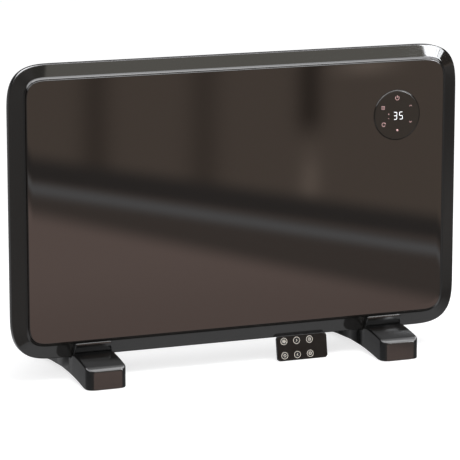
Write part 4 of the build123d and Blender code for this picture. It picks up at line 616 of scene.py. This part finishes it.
# Wall card: a sheet in front that only reflections see, so that the glass mirrors a pale wall over a dark
# leaning edge, a floor below and a bright window at the upper right. Its layout is in millimetres on the
# glass's plane, and a post or a bar is a middle, a width and a darkness.
WALL, SOFFIT, WINDOW = (0.047, 0.037, 0.0305), (0.076, 0.073, 0.065), (1.3, 1.33, 1.37)
EDGE, GLEAM, SHADE = (0.0155, 0.0142, 0.0136), (0.056, 0.056, 0.057), (0.0305, 0.025, 0.0222)
GROUND, SIDE = (0.083, 0.0615, 0.0545), (0.0165, 0.0155, 0.015)
WINDOW_BARS = (
    (398, 6, 0.5), (465, 8, 0.25), (553, 7, 0.85), (627, 11, 0.97),
    (668, 6, 0.8), (693, 5, 0.8), (714, 5, 0.8))
DARK_POSTS = ((-240, 28, 0.4), (-62, 30, 0.34))
EDGE_HEIGHT, EDGE_FALL, GROUND_HEIGHT, GROUND_FALL = 263, 0.205, 175, 0.28
MIRRORED_PART, CARD_Y = 0.045, -2.0
CARD_COLUMNS, CARD_ROWS = 601, 281


def ease(low, high, value):
    """Smooth step from 0 at low to 1 at high: 3 t^2 - 2 t^3."""
    t = np.clip((value - low) / (high - low), 0, 1)
    return t * t * (3 - 2 * t)


def hump(value, middle, width):
    """A soft bump of height 1 about the middle: exp(-((v - m) / w)^2)."""
    return np.exp(-((value - middle) / width) ** 2)


def tint(color, strength):
    """A colour times a strength that varies over the sheet."""
    return np.array(color) * strength[..., None]


def blend(one, other, share):
    """One colour field turned into another by a share from 0 to 1: one + (other - one) * share."""
    return one + (other - one) * share[..., None]


def room_seen_in_glass(x, z):
    """Colour that the glass mirrors at x, z: wall and window, leaning edge, gleam, ground and dark sides."""
    above_edge = z - (EDGE_HEIGHT - EDGE_FALL * x)
    over_ground = (GROUND_HEIGHT - GROUND_FALL * x) - z
    posts = 1 - sum(dark * hump(x, place, width) for place, width, dark in DARK_POSTS)
    posts -= 0.62 * hump(x, 116, 26) * ease(340, 400, z)
    posts += 0.55 * hump(x, 118, 20) * hump(z, 290, 42) + 0.75 * hump(x, 215, 50) * ease(440, 470, z)
    wall = tint(WALL, posts * (1 - 0.8 * ease(560, 640, z)))
    soffit = tint(SOFFIT, 0.2 + 0.8 * ease(-335, -318, x))
    wall = blend(wall, soffit, ease(740, 790, z) * ease(360, 352, x))
    bars = np.clip(1 - sum(dark * hump(x, place, width) for place, width, dark in WINDOW_BARS), 0.03, 1)
    wall = wall + tint(WINDOW, ease(350, 357, x) * ease(746, 736, x) * ease(590, 640, z) * bars)
    ground = tint(GROUND, 0.84 + 0.16 * ease(60, 200, z))
    lower = blend(np.array(SHADE), ground, ease(-16, 20, over_ground))
    lower = blend(lower, np.array(GLEAM), hump(above_edge, -25 - 0.012 * (x + 340), 10))
    lower = blend(np.array(EDGE), lower, ease(4, 18, -above_edge))
    view = np.where((above_edge < 0)[..., None], lower, np.array(EDGE))
    view = view + (wall - np.array(EDGE)) * ease(6, 40, above_edge)[..., None]
    side = tint(SIDE, 1 + 0.35 * np.sin(z / 70.0) * ease(-900, -600, x))
    return blend(view, side, np.maximum(ease(-420, -520, x), ease(560, 640, x) * ease(620, 540, z)))


def reflector(name, points, faces, colors):
    """A light-giving sheet that only reflections see, its colour held per point."""
    mesh = bpy.data.meshes.new(name)
    mesh.from_pydata(points.tolist(), [], faces)
    layer = mesh.color_attributes.new("glow", "FLOAT_COLOR", "POINT")
    layer.data.foreach_set("color", np.column_stack((colors, np.ones(len(colors)))).ravel())
    material = bpy.data.materials.new(name)
    material.use_nodes = True
    tree = material.node_tree
    tree.nodes.clear()
    source = tree.nodes.new("ShaderNodeVertexColor")
    source.layer_name = "glow"
    emission = tree.nodes.new("ShaderNodeEmission")
    output = tree.nodes.new("ShaderNodeOutputMaterial")
    tree.links.new(source.outputs["Color"], emission.inputs["Color"])
    tree.links.new(emission.outputs[0], output.inputs["Surface"])
    mesh.materials.append(material)
    sheet = bpy.data.objects.new(name, mesh)
    scene.collection.objects.link(sheet)
    sheet.visible_camera = sheet.visible_diffuse = sheet.visible_shadow = sheet.visible_transmission = False


# Each card point is where the camera's ray, mirrored by the glass, meets the card: eye + k * (point on
# glass - eye), with the eye mirrored in the glass and k set by the card's distance.
card_x, card_z = np.meshgrid(np.linspace(-1500, 1500, CARD_COLUMNS), np.linspace(-200, 1200, CARD_ROWS))
card_color = room_seen_in_glass(card_x, card_z) / MIRRORED_PART
glass_y = GLASS_FACE_Y * MM
eye = np.array((camera.location[0], 2 * glass_y - camera.location[1], camera.location[2]))
glass_points = np.column_stack((card_x.ravel() * MM, np.full(card_x.size, glass_y), card_z.ravel() * MM))
card_points = eye + (eye[1] - CARD_Y) / (eye[1] - glass_y) * (glass_points - eye)
card_faces = strip_faces(CARD_ROWS, CARD_COLUMNS, closed=False)
reflector("wall_card", card_points, card_faces, card_color.reshape(-1, 3))


# Studio light: two soft boxes. The wide one overhead may show in the gloss pieces, and the one in front
# only fills.
def soft_box(name, place, target, width, height, power, mirrored):
    """A square-cornered area light at a place, turned towards a target; mirrored lets reflections see it."""
    lamp = bpy.data.lights.new(name, "AREA")
    lamp.shape = "RECTANGLE"
    lamp.size, lamp.size_y, lamp.energy = width, height, power
    light = bpy.data.objects.new(name, lamp)
    scene.collection.objects.link(light)
    light.location = place
    light.rotation_euler = (Vector(target) - Vector(place)).to_track_quat("-Z", "Y").to_euler()
    light.visible_glossy = mirrored


soft_box("top_box", (0.3, -0.9, 2.6), (0, 0, 0.2), 2.6, 1.4, 60, True)
soft_box("front_box", (-1.8, -2.8, 1.9), (0, 0, 0.25), 1.6, 1.6, 25, False)
